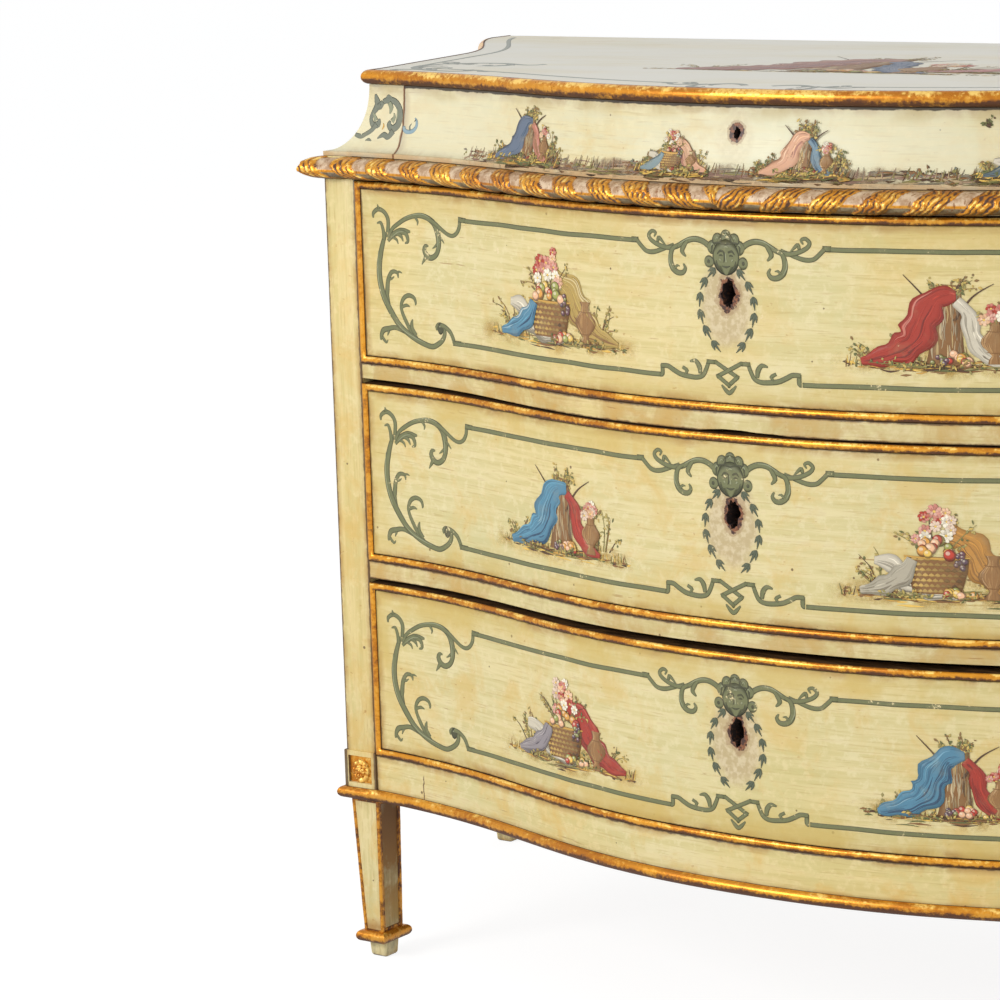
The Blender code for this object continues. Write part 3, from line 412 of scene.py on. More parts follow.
def painted_board(name, middle, half_size, reach, streaks=(9, 9, 190), dirt=0.75, soiled=0.0, **values):
    """Cream paint on one board, with grime gathered near the edges of its face or all over it."""
    material = start_material(name)
    place = object_place()
    edge = add("Group", node_tree=near_edge, Vector=place, Middle=middle, Half_Size=half_size, Reach=reach)
    surface = add("Group", node_tree=cream_paint, Vector=place, Streaks=streaks, Crevice=edge["Crevice"],
                  Dirt=maths("MAXIMUM", edge["Mask"] * dirt, soiled), Yellowing=0.9, **values)
    finish_surface(surface, 0.30, 0.0003)
    return material


straight = ((0, 0), (0, 0))


def bowed_board(name, half_width, bottom, top, thickness, material, replaces, body="carcass", rear_y=None,
                columns=96, sag=straight):
    """A board sawn to the bow, with softened front edges; its lower edge may sag, in mm by place."""
    rounding, first_step = 0.0012, 0.0003
    section = [(thickness, bottom), (rounding, bottom), (first_step, bottom + rounding / 3),
               (0.0, bottom + rounding)]
    steps = max(2, round((top - bottom) / 0.02))
    section += [(0.0, bottom + rounding + (top - bottom - 2 * rounding) * i / steps) for i in range(1, steps + 1)]
    section += [(first_step, top - rounding / 3), (rounding, top), (thickness, top), (thickness, bottom)]

    def place(i, j):
        x = half_width * (2 * i / columns - 1)
        depth, z = section[j]
        y = rear_y if rear_y is not None and depth == thickness else face_y(x) + depth
        drop = np.interp(x * 1000, *zip(*sag)) / 1000
        return Vector((x, y, z - drop * (top - z) / (top - bottom)))

    return new_piece(name, swept(columns, len(section) - 1, place), [material], replaces, body)


def cut_through(piece, cutter_bm, torn_material):
    """Cut a shape out of a piece, give the cut its own finish, and remove the cutter."""
    piece.data.materials.append(torn_material)
    for face in cutter_bm.faces:
        face.material_index = len(piece.data.materials) - 1
    cutter = into_scene("cutter", bpy.data.meshes.new("cutter"))
    cutter_bm.to_mesh(cutter.data)
    cutter_bm.free()
    for _ in piece.data.materials:
        cutter.data.materials.append(torn_material)
    modifier = piece.modifiers.new("cut", "BOOLEAN")
    modifier.object = cutter
    modifier.solver = "EXACT"
    bpy.context.view_layer.update()
    evaluated = piece.evaluated_get(bpy.context.evaluated_depsgraph_get())
    cut_mesh = bpy.data.meshes.new_from_object(evaluated)
    piece.modifiers.clear()
    piece.data = cut_mesh
    bpy.data.objects.remove(cutter)
    cut_mesh.shade_smooth()
    cut_mesh.set_sharp_from_angle(angle=math.radians(40))


pocket_height, pocket_play = 0.012, 0.002


def bolt_pocket(rail, bottom, bolt, wood):
    """A slot chopped up into the rail, where the bolt of the drawer below is thrown."""
    low, high = (Vector(corner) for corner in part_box(bolt))
    slot = bmesh.new()
    bmesh.ops.create_cube(slot, size=1)
    size = (high.x - low.x + pocket_play, high.y - low.y + pocket_play, pocket_height)
    bmesh.ops.scale(slot, vec=size, verts=slot.verts)
    bmesh.ops.translate(slot, vec=((low.x + high.x) / 2, (low.y + high.y) / 2, bottom + 0.002), verts=slot.verts)
    cut_through(rail, slot, wood)


carcass_foot, carcass_top = 0.1625, 0.7983
apron_bottom, apron_top, split_x = carcass_foot, 0.2091, 0.4185
rail_half_width = opening_half_width - joint_gap
apron_paint = painted_board("apron_paint", (0, 0, (apron_bottom + apron_top) / 2 + 0.004),
                            (opening_half_width, 9, (apron_top - apron_bottom) / 2 - 0.004), 0.0045,
                            dirt=0.6, Staining=0.7)
place = object_place()
where = add("SeparateXYZ", _0=place)
aside = maths("ABSOLUTE", where[0] + split_x + cloud(place, 160.0) * 0.004)
split = spread(aside, 0.0009, 0.0003) * spread(where[2], 0.200, 0.194)
painted = Value(shader.inputs["Base Color"].links[0].from_socket)
feed(shader, Base_Color=over(painted, split, (0.10, 0.04, 0.012)))
bowed_board("apron_face", rail_half_width, apron_bottom, apron_top, 0.022, apron_paint, ["apron"])
pocket_pine = pine_board("pocket_pine", (3, 70, 70), 0.0)
# the lower rail hangs a little at its left end; the middle one has sagged on to its drawer from the
# left quarter on, and is chipped at the lock
lower_sag = ((-484, 2.6), (-440, 2.2), (-380, 1.5), (-250, 1.0), (-100, 0.3), (0, 0))
middle_sag = ((-484, 0), (-400, 0.3), (-330, 1.0), (-250, 2.6), (-180, 3.3), (-34, 3.3), (-24, 1.9), (-8, 0.6),
              (12, 0.8), (24, 1.8), (46, 2.2), (58, 3.3), (484, 3.2))
for rail, bottom, top, sag in (("lower", 0.3894, 0.4044, lower_sag), ("middle", 0.5840, 0.5990, middle_sag),
                               ("upper", 0.7762, carcass_top, straight)):
    lowest = bottom - max(drop for _, drop in sag) / 1000
    rail_paint = painted_board(f"rail_{rail}_paint", (0, 0, (lowest + top) / 2),
                               (opening_half_width, 9, (top - lowest) / 2), 0.003, dirt=0.6, soiled=0.36,
                               Staining=0.85)
    board = bowed_board(f"rail_{rail}_board", rail_half_width, bottom, top, 0.03, rail_paint, [f"rail_{rail}"],
                        rear_y=post_rear_y, columns=192, sag=sag)
    bolt_pocket(board, bottom, f"{rail}_drawer_lock_bolt", pocket_pine)

side_middle_y, side_middle_z, side_half_depth, side_half_height = 0.0594, 0.480, 0.1875, 0.3055
side_paint = painted_board("side_paint", (0, side_middle_y, side_middle_z), (9, side_half_depth, side_half_height),
                           0.022, Staining=0.55)
panel_start, panel_end, panel_thickness = post_rear_y + joint_gap, back_post_y - joint_gap, 0.018
side_columns = 64
section = [(panel_thickness, carcass_foot), (0.0, carcass_foot), (0.0, 0.3), (0.0, 0.5), (0.0, carcass_top),
           (panel_thickness, carcass_top), (panel_thickness, carcass_foot)]
for hand, mark in (("left", -1), ("right", 1)):

    def side_place(i, j):
        y = panel_start + (panel_end - panel_start) * i / side_columns
        inset, z = section[j]
        return Vector((mark * (side_x(y) - inset), y, z))

    new_piece(f"side_{hand}", swept(side_columns, len(section) - 1, side_place), [side_paint],
              [f"side_panel_{hand}"])


# Corner posts and legs: each is one length of wood, from the ribbon moulding down to the foot. The
# front ones have a proud block with a sunk panel. The leg tapers on two faces, a gilt bead is left
# along each arris, and a gilt half-round collar is mitred round the ankle over a small plain foot.
worn_and_shaded_gilding, given, result = start_group("worn_and_shaded_gilding", "Color Roughness Metallic Height", Vector=None,
                                          Crest=0.6, Wear=0.4)
place = given["Vector"]
patchy = cloud(stretched(place, (0.4, 1.0, 1.0)), 60.0, 5.0, 0.68, 0.3)
fine = cloud(place, 240.0, 4.0, 0.65)
rubbed = patchy * 0.58 + fine * 0.42
bare = spread(rubbed, 0.515, 0.575) * given["Wear"]
gesso = spread(rubbed, 0.615, 0.65) * given["Wear"]
# The Lighting input, with the rubbing, sets where painted light falls: near-black painted shade, with some dark
# patina, where a moulding turns from the light and along its two edges.
proud = given["Crest"] + (rubbed - 0.5) * 2.2
shade_and_patina = spread(proud, 0.52, 0.10)
gold = layered((0.47, 0.160, 0.008),
               (spread(cloud(place, 11.0, 3.0, 0.6), 0.38, 0.62), (0.66, 0.270, 0.016)),
               (spread(rubbed, 0.46, 0.60, 0.0, 0.75), (0.88, 0.45, 0.045)),
               (bare * 0.75, (0.26, 0.080, 0.018)),
               (gesso * 0.6, (0.74, 0.43, 0.12)),
               (shade_and_patina, (0.080, 0.024, 0.004)),
               # a painted highlight along the lit top of the moulding
               (spread(proud, 0.80, 1.06) * 0.85, (1.0, 0.70, 0.19)))
dull = maths("MAXIMUM", maths("MAXIMUM", bare, gesso), shade_and_patina)
feed(result, Color=gold, Roughness=spread(dull + fine * 0.4, 0.0, 1.2, 0.26, 0.62),
     Metallic=0.60 - dull * 0.55, Height=fine + patchy - dull * 0.7)


def surface_value(name):
    """A value kept on the corners of a mesh."""
    return add("Attribute", attribute_name=name)["Fac"]


def lit_from_above(low, high, to_low, to_high):
    """A value that grows from the underside of a moulding to its upper side; it paints shade beneath and light
    above.
    """
    return spread(add("SeparateXYZ", _0=add("TexCoord")["Normal"])[2], low, high, to_low, to_high)


def gilt(name, wear, low=0.0, high=0.80, rim=(0.0, 0.91), crest=None):
    """Oil gilding over red bole, with painted light: a painted highlight above, painted shade below and along a
    moulding's two edges.
    """
    material = start_material(name)
    if crest is None:
        # painted light from above, with painted shade below and at the two edges
        across = surface_value("across")
        start = spread(across, rim[0], rim[0] + 0.11, low - 0.3, 1.3)
        end = spread(across, rim[1], rim[1] - 0.11, low - 0.3, 1.3)
        crest = maths("MINIMUM", lit_from_above(-0.75, 0.62, low, high), maths("MINIMUM", start, end))
    surface = add("Group", node_tree=worn_and_shaded_gilding, Vector=object_place(), Crest=crest, Wear=wear)
    feed(shader, Metallic=surface["Metallic"])
    finish_surface(surface, 0.45, 0.0004)
    return material


def soft_block(bm, corner, opposite, rounding, segments=2, taper=None):
    """A squared block between two opposite corners, its edges rounded; taper moves its lower corners."""
    before = set(bm.verts)
    bmesh.ops.create_cube(bm, size=1)
    corners = [v for v in bm.verts if v not in before]
    low, high = Vector(map(min, corner, opposite)), Vector(map(max, corner, opposite))
    for v in corners:
        v.co = Vector(((low[k] + high[k]) / 2 + v.co[k] * (high[k] - low[k]) for k in range(3)))
        if taper and v.co.z < (low.z + high.z) / 2:
            v.co = taper(v.co)
    edges = {e for v in corners for e in v.link_edges}
    bmesh.ops.bevel(bm, geom=list(edges), affect="EDGES", offset=rounding, segments=segments,
                    profile=0.5, material=-1)
    return [v for v in bm.verts if v not in before]


collar_bottom, collar_top, block_top, base_top, block_proud = 0.0165, 0.0283, 0.2112, 0.1743, 0.002
knee_width, knee_depth, ankle_width, ankle_depth = 0.0325, 0.0360, 0.0225, 0.0325
foot_share, foot_rounding = 0.0200 / ankle_width, 0.0034
leg_bead_radius, bead_in_at_knee, bead_in_at_ankle, rod_rings, rod_sides = 0.0019, 0.0014, 0.0013, 28, 12
collar_bulge, collar_parts, collar_rows = 0.0066, 6, 12
post_middle_z, post_half_height, leg_middle_z, leg_half_height, foot_half_height = 0.48, 0.322, 0.095, 0.068, 0.012
leg_bead_gilt = gilt("leg_bead_gilding", 0.45, crest=0.40)
leg_band_gilt = gilt("leg_band_gilding", 0.60, crest=0.30)
panel_gilt = gilt("block_panel_gilding", 0.50, crest=0.74)
collar_gilt = gilt("collar_gilding", 0.40, 0.02, 0.74, (0.0, 1.0))
post_pine = pine_board("post_back_pine", (70, 70, 3), 0.05)
# The inner side faces of the legs grow darker towards the top: dirt, and painted shadow cast by the apron.
leg_side_dirt_and_shade = start_material("leg_side_dirt_and_shade")
place = object_place()
level_up = add("SeparateXYZ", _0=place)[2]
surface = add("Group", node_tree=cream_paint, Vector=place, Streaks=(150, 150, 14), Staining=1.0,
              Ground=(0.40, 0.32, 0.12), Dirt=spread(level_up, 0.020, 0.125, 0.45, 1.4))
finish_surface(surface, 0.35, 0.0003)
feed(shader, Base_Color=over(surface["Color"], spread(level_up, 0.050, 0.150, 0.05, 0.80), (0.15, 0.062, 0.015)))
show, leg_front, leg_side, leg_band, foot_wood, sunk_panel, side_face, behind = range(8)

for hand, mark in (("left", -1), ("right", 1)):
    for end, half_width, show_y, facing, leg_face in (("front", front_half_width, post_face_y, 1, 0.0),
                                                      ("back", back_half_width, back_y, -1, 0.0068)):
        inner_x = half_width - post_size
        middle_x = mark * (half_width - post_size / 2)
        post_paint = painted_board(f"{end}_post_paint_{hand}", (middle_x, show_y, post_middle_z),
                                   (0.0178, 9, post_half_height), 0.004, (190, 190, 9), 0.6, Staining=0.6)
        post_side_paint = painted_board(f"{end}_post_side_paint_{hand}",
                                        (0, show_y + facing * post_size / 2, post_middle_z),
                                        (9, 0.0180, post_half_height), 0.004, (190, 190, 9), 0.6, Staining=0.8)
        leg_paint = painted_board(f"{end}_leg_paint_{hand}", (middle_x, show_y, leg_middle_z),
                                  (0.05, 9, leg_half_height), 0.009, (150, 150, 14), 0.8, Staining=0.8,
                                  Ground=(0.60, 0.53, 0.26))
        foot_paint = painted_board(f"{end}_foot_paint_{hand}", (middle_x, show_y, foot_half_height),
                                   (0.05, 9, foot_half_height), 0.004, (150, 150, 30), 0.6, Staining=0.9,
                                   Ground=(0.36, 0.33, 0.19))

        def at(across, depth, z):
            """A place on this post: across from its inner edge, in from its show face."""
            return Vector((mark * (inner_x + across), show_y + facing * depth, z))

        bm = bmesh.new()
        proud = block_proud if end == "front" else 0.0
        soft_block(bm, at(0, 0, block_top - 0.001), at(post_size, post_size, carcass_top), 0.0010)
        block = soft_block(bm, at(0, -proud, carcass_foot), at(post_size + proud, post_size, block_top), 0.0008)
        if end == "front":
            face = max((f for f in bm.faces if f.verts[0] in block), key=lambda f: -f.calc_center_median().y)
            bmesh.ops.bisect_plane(bm, geom=[face, *face.edges, *face.verts], plane_co=(0, 0, base_top),
                                   plane_no=(0, 0, 1))
            face = max((f for f in bm.faces if f.calc_center_median().y < show_y - 0.0015),
                       key=lambda f: f.calc_area())
            bmesh.ops.inset_region(bm, faces=[face], thickness=0.0062, depth=0.0)
            bmesh.ops.inset_region(bm, faces=[face], thickness=0.0006, depth=-0.0024)
            face.material_index = sunk_panel

        def taper_leg(corner):
            """Draw the foot end in from the outer side and from behind."""
            across = (mark * corner.x - inner_x) / knee_width
            depth = (facing * (corner.y - show_y) - leg_face) / knee_depth
            return at(across * ankle_width, leg_face + depth * ankle_depth, corner.z)

        leg = soft_block(bm, at(0, leg_face, collar_top - 0.002),
                         at(knee_width, min(leg_face + knee_depth, post_size), carcass_foot), 0.0004, 1, taper_leg)
        bm.normal_update()
        leg_faces = [f for f in bm.faces if f.verts[0] in leg]
        for face in leg_faces:
            face.material_index = leg_band
        for face in [f for f in leg_faces if f.calc_area() > 0.0015]:
            sideways = abs(face.normal.x) > 0.7
            bmesh.ops.inset_region(bm, faces=[face], thickness=0.0060 if sideways else 0.0034, depth=0.0)
            bmesh.ops.inset_region(bm, faces=[face], thickness=0.0003, depth=-0.0010)
            face.material_index = leg_side if sideways else leg_front

        def shrink_foot(corner):
            middle = at(ankle_width / 2, leg_face + ankle_depth / 2, corner.z)
            return middle + (corner - middle) * foot_share

        foot = soft_block(bm, at(0, leg_face + 0.005, 0.0),
                          at(ankle_width, leg_face + 0.0275, collar_bottom + 0.001), foot_rounding, 4, shrink_foot)
        for face in [f for f in bm.faces if f.verts[0] in foot]:
            face.material_index = foot_wood
        bmesh.ops.recalc_face_normals(bm, faces=bm.faces)
        for face in bm.faces:
            if face.material_index == show and abs(face.normal.x) > 0.7:
                face.material_index = side_face
            elif face.material_index == show and face.normal.y > 0.7:
                face.material_index = behind
        new_piece(f"{end}_post_{hand}_wood", bm, [post_paint, leg_paint, leg_side_dirt_and_shade, leg_band_gilt, foot_paint,
                                                  panel_gilt, post_side_paint, post_pine],
                  [f"{end}_post_{hand}"], sharp=30)

        bm = bmesh.new()
        for a, b in ((0, 0), (0, 1), (1, 0), (1, 1)):
            in_across, in_depth = 1 - 2 * a, 1 - 2 * b
            top_at = at(knee_width * a + bead_in_at_knee * in_across,
                        leg_face + knee_depth * b + bead_in_at_knee * in_depth, carcass_foot - 0.0008)
            low_at = at(ankle_width * a + bead_in_at_ankle * in_across,
                        leg_face + ankle_depth * b + bead_in_at_ankle * in_depth, collar_top - 0.001)
            if facing < 0 and b:
                top_at.y = max(top_at.y, show_y - post_size + leg_bead_radius)

            def rod(i, j):
                angle = 2 * math.pi * j / rod_sides
                centre = top_at.lerp(low_at, i / rod_rings)
                uneven = 1 + 0.14 * value_noise.noise(centre * 160 + Vector((a, b, 0)) * 9)
                radius = leg_bead_radius * uneven
                return centre + Vector((math.cos(angle), math.sin(angle), 0)) * radius

            place_grid(bm, rod_rings, rod_sides, rod)
        close_up(bm)
        new_piece(f"{end}_leg_beads_{hand}", bm, [leg_bead_gilt], sharp=60)

        ankle = ((0, 0), (1, 0), (1, 1), (0, 1))
        path = [at(ankle_width * a, leg_face + ankle_depth * b, 0) for a, b in ankle]
        ways = [at(2 * a - 1, leg_face + (2 * b - 1), 0) - at(0, leg_face, 0) for a, b in ankle]

        def collar(i, j):
            """Half-round that swells out over the ankle, mitred at four corners."""
            side, part = divmod(i, collar_parts)
            corner = path[side % 4].lerp(path[(side + 1) % 4], part / collar_parts)
            way = ways[side % 4].lerp(ways[(side + 1) % 4], part / collar_parts)
            angle = math.pi * (j / collar_rows - 0.5)
            out = -0.003 if j in (0, collar_rows) else collar_bulge * math.cos(angle) ** 0.8
            z = (collar_top + collar_bottom) / 2 + (collar_top - collar_bottom) / 2 * math.sin(angle)
            return Vector((corner.x + way.x * out, corner.y + way.y * out, z))

        new_piece(f"{end}_collar_{hand}", swept(4 * collar_parts, collar_rows, collar), [collar_gilt],
                  sharp=50)


# Base moulding: a gilt half-round planted along the foot of the apron. It steps out round the
# corner blocks and runs down both sides to the back.
def outline_point(run, forward, outward):
    """A place on a moulding's line: run 0 is the centre, 1 a front corner, 2 the back."""
    mark = -1 if run < 0 else 1
    run = abs(run)
    if run <= 1:
        x = run * (front_half_width + outward)
        return Vector((mark * x, face_y(x) - forward))
    start = post_face_y - forward
    y = start + (run - 1) * (back_y - start)
    slope = (side_x(min(y + 0.004, back_y)) - side_x(y - 0.004)) / 0.008
    if y < post_rear_y - 0.005 or y > back_post_y + 0.005:
        slope = 0.0
    away = Vector((1, -slope)).normalized()
    ease = min(1.0, (back_y - y) / 0.01)
    return Vector((mark * (side_x(y) + away.x * outward), y + away.y * outward * ease))


front_line, side_line = front_half_width * 1.026, 0.462


def line_length(run):
    """Distance from the centre of the front along the moulding's line."""
    run = abs(run)
    return run * front_line if run <= 1 else front_line + (run - 1) * side_line


def sweep(name, runs, section, material, replaces, sharp=50):
    """Run a section of (forward, outward, height) along the line of the moulding."""
    sections = [section(run) for run in runs]

    def place(i, j):
        forward, outward, z = sections[i][j]
        return Vector((*outline_point(runs[i], forward, outward), z))

    solid = swept(len(runs) - 1, len(sections[0]) - 1, place)
    return new_piece(name, solid, [material], replaces, sharp=sharp)


def half_round(depth, bottom, top, steps=10):
    middle, half = (bottom + top) / 2, (top - bottom) / 2
    angles = [math.pi * (k / steps - 0.5) for k in range(steps + 1)]
    return [(joint_gap + depth * math.cos(a), middle + half * math.sin(a)) for a in angles]


def even_runs(front_steps, side_steps):
    """Even steps along the front and both sides, with a station at each corner."""
    right = [k / front_steps for k in range(front_steps + 1)]
    right += [1 + k / side_steps for k in range(1, side_steps + 1)]
    return [-r for r in reversed(right[1:])] + right


base_depth = 0.0058
block_run = opening_half_width / front_half_width
block_side_run = 1 + (post_size + joint_gap) / (back_y - post_face_y)


def base_section(run):
    step = block_proud if block_run - 0.0006 < abs(run) < block_side_run + 0.0004 else 0.0
    bulge = [(d + step, d + step, z) for d, z in half_round(base_depth, carcass_foot, base_top)]
    return bulge + [(joint_gap, joint_gap, carcass_foot)]


base_runs = even_runs(90, 70)
for edge in (block_run - 0.0012, block_run, block_side_run, block_side_run + 0.0012):
    base_runs += [edge, -edge]
base_gilt = gilt("base_moulding_gilding", 0.40, -0.05, 0.74)
sweep("base_moulding_gilt", sorted(base_runs), base_section, base_gilt, ["base_moulding"])


# Ribbon moulding: a half-round carved as a ribbon twisted about a stick. Bundles of fine gilt
# strands lie over a stick left in rubbed silver and green. It is mitred at the corners, and the
# twist leans the other way on each side of the centre.
ribbon_bottom, ribbon_top, ribbon_steps = 0.7762, carcass_top, 22
ribbon_pitch, ribbon_share, ribbon_depth = 0.0445, 0.62, 0.01866


def ribbon_lay(run, angle):
    """How far round its bundle a place lies, under 1 on the strands, and how high its strand stands."""
    phase = 0.45 if run < 0 else -0.06
    place = line_length(run)
    ragged = 0.05 * value_noise.noise(Vector((place * 60, angle * 1.5, 3)))
    turn = place / ribbon_pitch - 0.62 * angle / math.pi + phase + ragged
    breadth = ribbon_share * (1 + 0.18 * value_noise.noise(Vector((math.floor(turn) * 3.7, 0, 8))))
    share = (turn - math.floor(turn)) / breadth
    wander = 0.45 * value_noise.noise(Vector((place * 75, angle * 2.5, 0)))
    return share, abs(math.sin(math.pi * (4.5 * share + wander)))


def ribbon_section(run):
    middle, half = (ribbon_bottom + ribbon_top) / 2, (ribbon_top - ribbon_bottom) / 2 - joint_gap
    profile = []
    for k in range(ribbon_steps + 1):
        angle = math.pi * (k / ribbon_steps - 0.5)
        share, crest = ribbon_lay(run, angle)
        stick = 0.84 + 0.05 * math.exp(-((angle + 0.25) / 0.16) ** 2)
        stick += 0.02 * value_noise.noise(Vector((line_length(run) * 120, angle * 3, 5)))
        lift = min(1.0, 6 * share, 6 * (1 - share)) if share < 1 else 0.0
        radius = min(stick + 0.155 * max(lift, 0.0) * (0.30 + 0.70 * crest ** 0.8), 1.0)
        out = joint_gap + ribbon_depth * radius * math.cos(angle) ** 0.85
        profile.append((out, out, middle + half * min(radius * 1.06, 1.0) * math.sin(angle)))
    return profile + [profile[0]]


ribbon_finish_and_shade = start_material("ribbon_twist_finish_and_shade")
place = object_place()
# the strands' painted light and shade follow the height of each strand
gold = add("Group", node_tree=worn_and_shaded_gilding, Vector=place, Crest=surface_value("strand"), Wear=0.30)
stick_noise = cloud(place, 120.0, 4.0, 0.65)
silver = over((0.42, 0.25, 0.13), spread(stick_noise, 0.35, 0.65), (0.72, 0.54, 0.36))
green = over((0.15, 0.095, 0.035), spread(stick_noise, 0.35, 0.65), (0.40, 0.33, 0.19))
height_up = surface_value("across")
ridge = spread(height_up, 0.36, 0.40) * spread(height_up, 0.48, 0.44)
on_strand = spread(surface_value("ribbon"), 0.35, 0.65)
# the edges of each bundle of strands darkened as painted shade
rim = spread(surface_value("ribbon"), 0.05, 0.45) * spread(surface_value("ribbon"), 0.85, 0.5)
threads = cloud(stretched(place, (320.0, 320.0, 120.0)), 1.0, 2.0, 0.5)
colour = layered(green,
                 (spread(height_up, 0.36, 0.42), silver),
                 (ridge, gold["Color"]),
                 (rim * 0.7, (0.25, 0.09, 0.015)),
                 (spread(threads, 0.60, 0.68, 0.0, 0.8), (0.24, 0.085, 0.015)),
                 (on_strand, gold["Color"]),
                 # painted shade on the underside of the moulding
                 (lit_from_above(-0.98, -0.45, 0.90, 0.0), (0.050, 0.018, 0.005)))
gold_part = maths("MAXIMUM", on_strand, ridge)
feed(shader, Base_Color=colour, Metallic=gold_part * gold["Metallic"],
     Roughness=spread(gold_part, 0.0, 1.0, 0.45, 0.30))
roughen(0.4, 0.0004, gold["Height"])

ribbon_runs = even_runs(560, 260)
ribbon = sweep("ribbon_moulding_carved", ribbon_runs, ribbon_section, ribbon_finish_and_shade, ["ribbon_moulding"], 70)
kept = {}
for label in ("run", "across"):
    kept[label] = np.zeros(len(ribbon.data.vertices), np.float32)
    ribbon.data.attributes[label].data.foreach_get("value", kept[label])
on_ribbon, strand_lighting = [], []
for column, row in zip(kept["run"], kept["across"]):
    angle = math.pi * (min(row * (ribbon_steps + 1) / ribbon_steps, 1.0) - 0.5)
    share, crest = ribbon_lay(ribbon_runs[round(column * (len(ribbon_runs) - 1))], angle)
    on_ribbon.append(1.0 if share < 1 else 0.0)
    # the strands' painted highlights, stronger and weaker along the moulding
    highlight_strength = 0.86 + 0.5 * value_noise.noise(Vector((column * 190, row * 4, 7)))
    strand_lighting.append(-0.10 + 1.15 * highlight_strength * crest if share < 1 else 0.6)
for label, values in (("ribbon", on_ribbon), ("strand", strand_lighting)):
    ribbon.data.attributes.new(label, "FLOAT", "POINT").data.foreach_set("value", values)


# Deep drawers: each has a bowed front of pine, gessoed and painted, with a gilt cock bead standing
# round it. The front is nailed to a box of bare boards. The key has broken the paint away round
# each keyhole, down to pink gesso and dark wood.
drawer_levels = (("upper", 0.5993, 0.1759), ("middle", 0.4047, 0.1747), ("lower", 0.2094, 0.1735))
bead_width, bead_proud, front_thickness = 0.007, 0.003, 0.022
bead_half_width = opening_half_width - 0.0006
core_half_width, core_inset = bead_half_width - bead_width - joint_gap, 0.0073
keyhole_drop, hole_drop, hole_width, hole_height = 0.071, 0.001, 0.0142, 0.0245
bead_gilt = gilt("cock_bead_gilding", 0.26, 0.08, 0.86, (0.10, 0.81))
# The bead's sides and the edges of the front behind it: aged wood, painted near black as the shade in the gap
# round the drawer.
bead_side_shade = start_material("shaded_bead_side_wood")
shade_grain = cloud(stretched(object_place(), (9, 40, 40)), 3.0, 5.0, 0.6)
feed(shader, Base_Color=over((0.030, 0.016, 0.007), spread(shade_grain, 0.35, 0.70), (0.115, 0.062, 0.028)),
     Roughness=spread(shade_grain, 0.3, 0.7, 0.85, 1.0), Specular_IOR_Level=0.05)
pine_drawer = pine_board("drawer_side_pine", (70, 3, 70), 0.05)
pine_drawer_back = pine_board("drawer_back_pine", (3, 70, 70), 0.05)
iron = start_material("lock_iron")
rust = cloud(object_place(), 140.0, 5.0, 0.7)
feed(shader, Base_Color=over((0.055, 0.05, 0.047), spread(rust, 0.42, 0.66), (0.16, 0.065, 0.025)),
     Roughness=spread(rust, 0.35, 0.65, 0.35, 0.8), Metallic=spread(rust, 0.65, 0.40, 0.2, 0.95))
roughen(0.5, 0.0004, rust)


def keyhole_damage(place, colour, centre, size, seed, chipped=0.85):
    """Paint broken away in a ragged patch round a keyhole: pale gesso, then a dark torn rim."""
    scaled = stretched(vectors("SUBTRACT", place, _1=centre), (1 / size[0], 0.0, 1 / size[1]))
    shifted = vectors("ADD", place, _1=(seed, 0, seed))
    ragged = cloud(shifted, 75.0, 5.0, 0.65)

    def torn_distance(spot, tear):
        return add("VectorMath", operation="LENGTH", _0=spot)["Value"] + (ragged - 0.5) * tear

    distance = torn_distance(scaled, 1.5)
    lower = torn_distance(vectors("ADD", scaled, _1=(0.15, 0.0, 0.55)), 1.2)
    pale = over((0.50, 0.385, 0.21), spread(cloud(shifted, 210.0, 4.0), 0.4, 0.65), (0.66, 0.545, 0.35))
    wood = over((0.045, 0.013, 0.006), spread(cloud(shifted, 300.0, 3.0), 0.42, 0.6), (0.24, 0.085, 0.030))
    return layered(colour,
                   (spread(lower, 3.0, 1.9, 0.0, chipped), pale),
                   (spread(distance, 1.30, 1.15, 0.0, 0.50), (0.33, 0.19, 0.09)),
                   (spread(distance, 1.02, 0.94), wood))


def ragged_keyhole(centre_z, width, height, back, seed):
    """A torn hole, wider at the face than behind, to be cut through a drawer front."""
    rng = random.Random(seed)
    sides, rings = 26, 4
    offsets = [rng.uniform(-0.16, 0.16) for _ in range(sides)]
    front = front_centre_y - 0.004

    def place(i, j):
        angle = 2 * math.pi * j / sides
        funnel = 1.0 - 0.45 * min(1.0, max(0.0, (i - 1) / 2))
        radius = (1 + offsets[j % sides]) * funnel
        narrow = 1 - 0.30 * max(0.0, -math.sin(angle))
        return Vector((0.5 * width * radius * narrow * math.cos(angle) + 0.0006 * math.sin(3 * angle),
                       front + (back - front) * i / rings, centre_z + 0.5 * height * radius * math.sin(angle)))

    return swept(rings, sides, place)


torn_wood = start_material("torn_wood")
torn = cloud(object_place(), 260.0, 4.0, 0.7)
feed(shader, Base_Color=over((0.010, 0.003, 0.002), spread(torn, 0.50, 0.74), (0.16, 0.055, 0.020)),
     Roughness=spread(torn, 0.3, 0.7, 0.6, 0.95))
roughen(0.8, 0.001, torn)


def dress_drawer(body):
    """Finish the bare boards and the lock behind a drawer's front."""
    for part, material in (("side_left", pine_drawer), ("side_right", pine_drawer), ("back", pine_drawer_back),
                           ("bottom", pine_drawer_back), ("lock", iron), ("lock_bolt", iron)):
        dress(f"{body}_{part}", material)


def bead_loop(half_width, bottom, top, columns=90):
    """Stations round a drawer's bead: place on its outer edge and the way inwards."""
    bottom_row = [(half_width * (2 * k / columns - 1), bottom, 0, 1) for k in range(1, columns)]
    top_row = [(x, top, 0, -1) for x, _, _, _ in reversed(bottom_row)]
    left = [(-half_width, bottom + (top - bottom) * k / 12, 1, 0) for k in range(11, 0, -1)]
    right = [(half_width, z, -1, 0) for _, z, _, _ in reversed(left)]
    loop = [(-half_width, bottom, 1, 1)] + bottom_row + [(half_width, bottom, -1, 1)] + right
    loop += [(half_width, top, -1, -1)] + top_row + [(-half_width, top, 1, -1)] + left
    return loop + loop[:1]


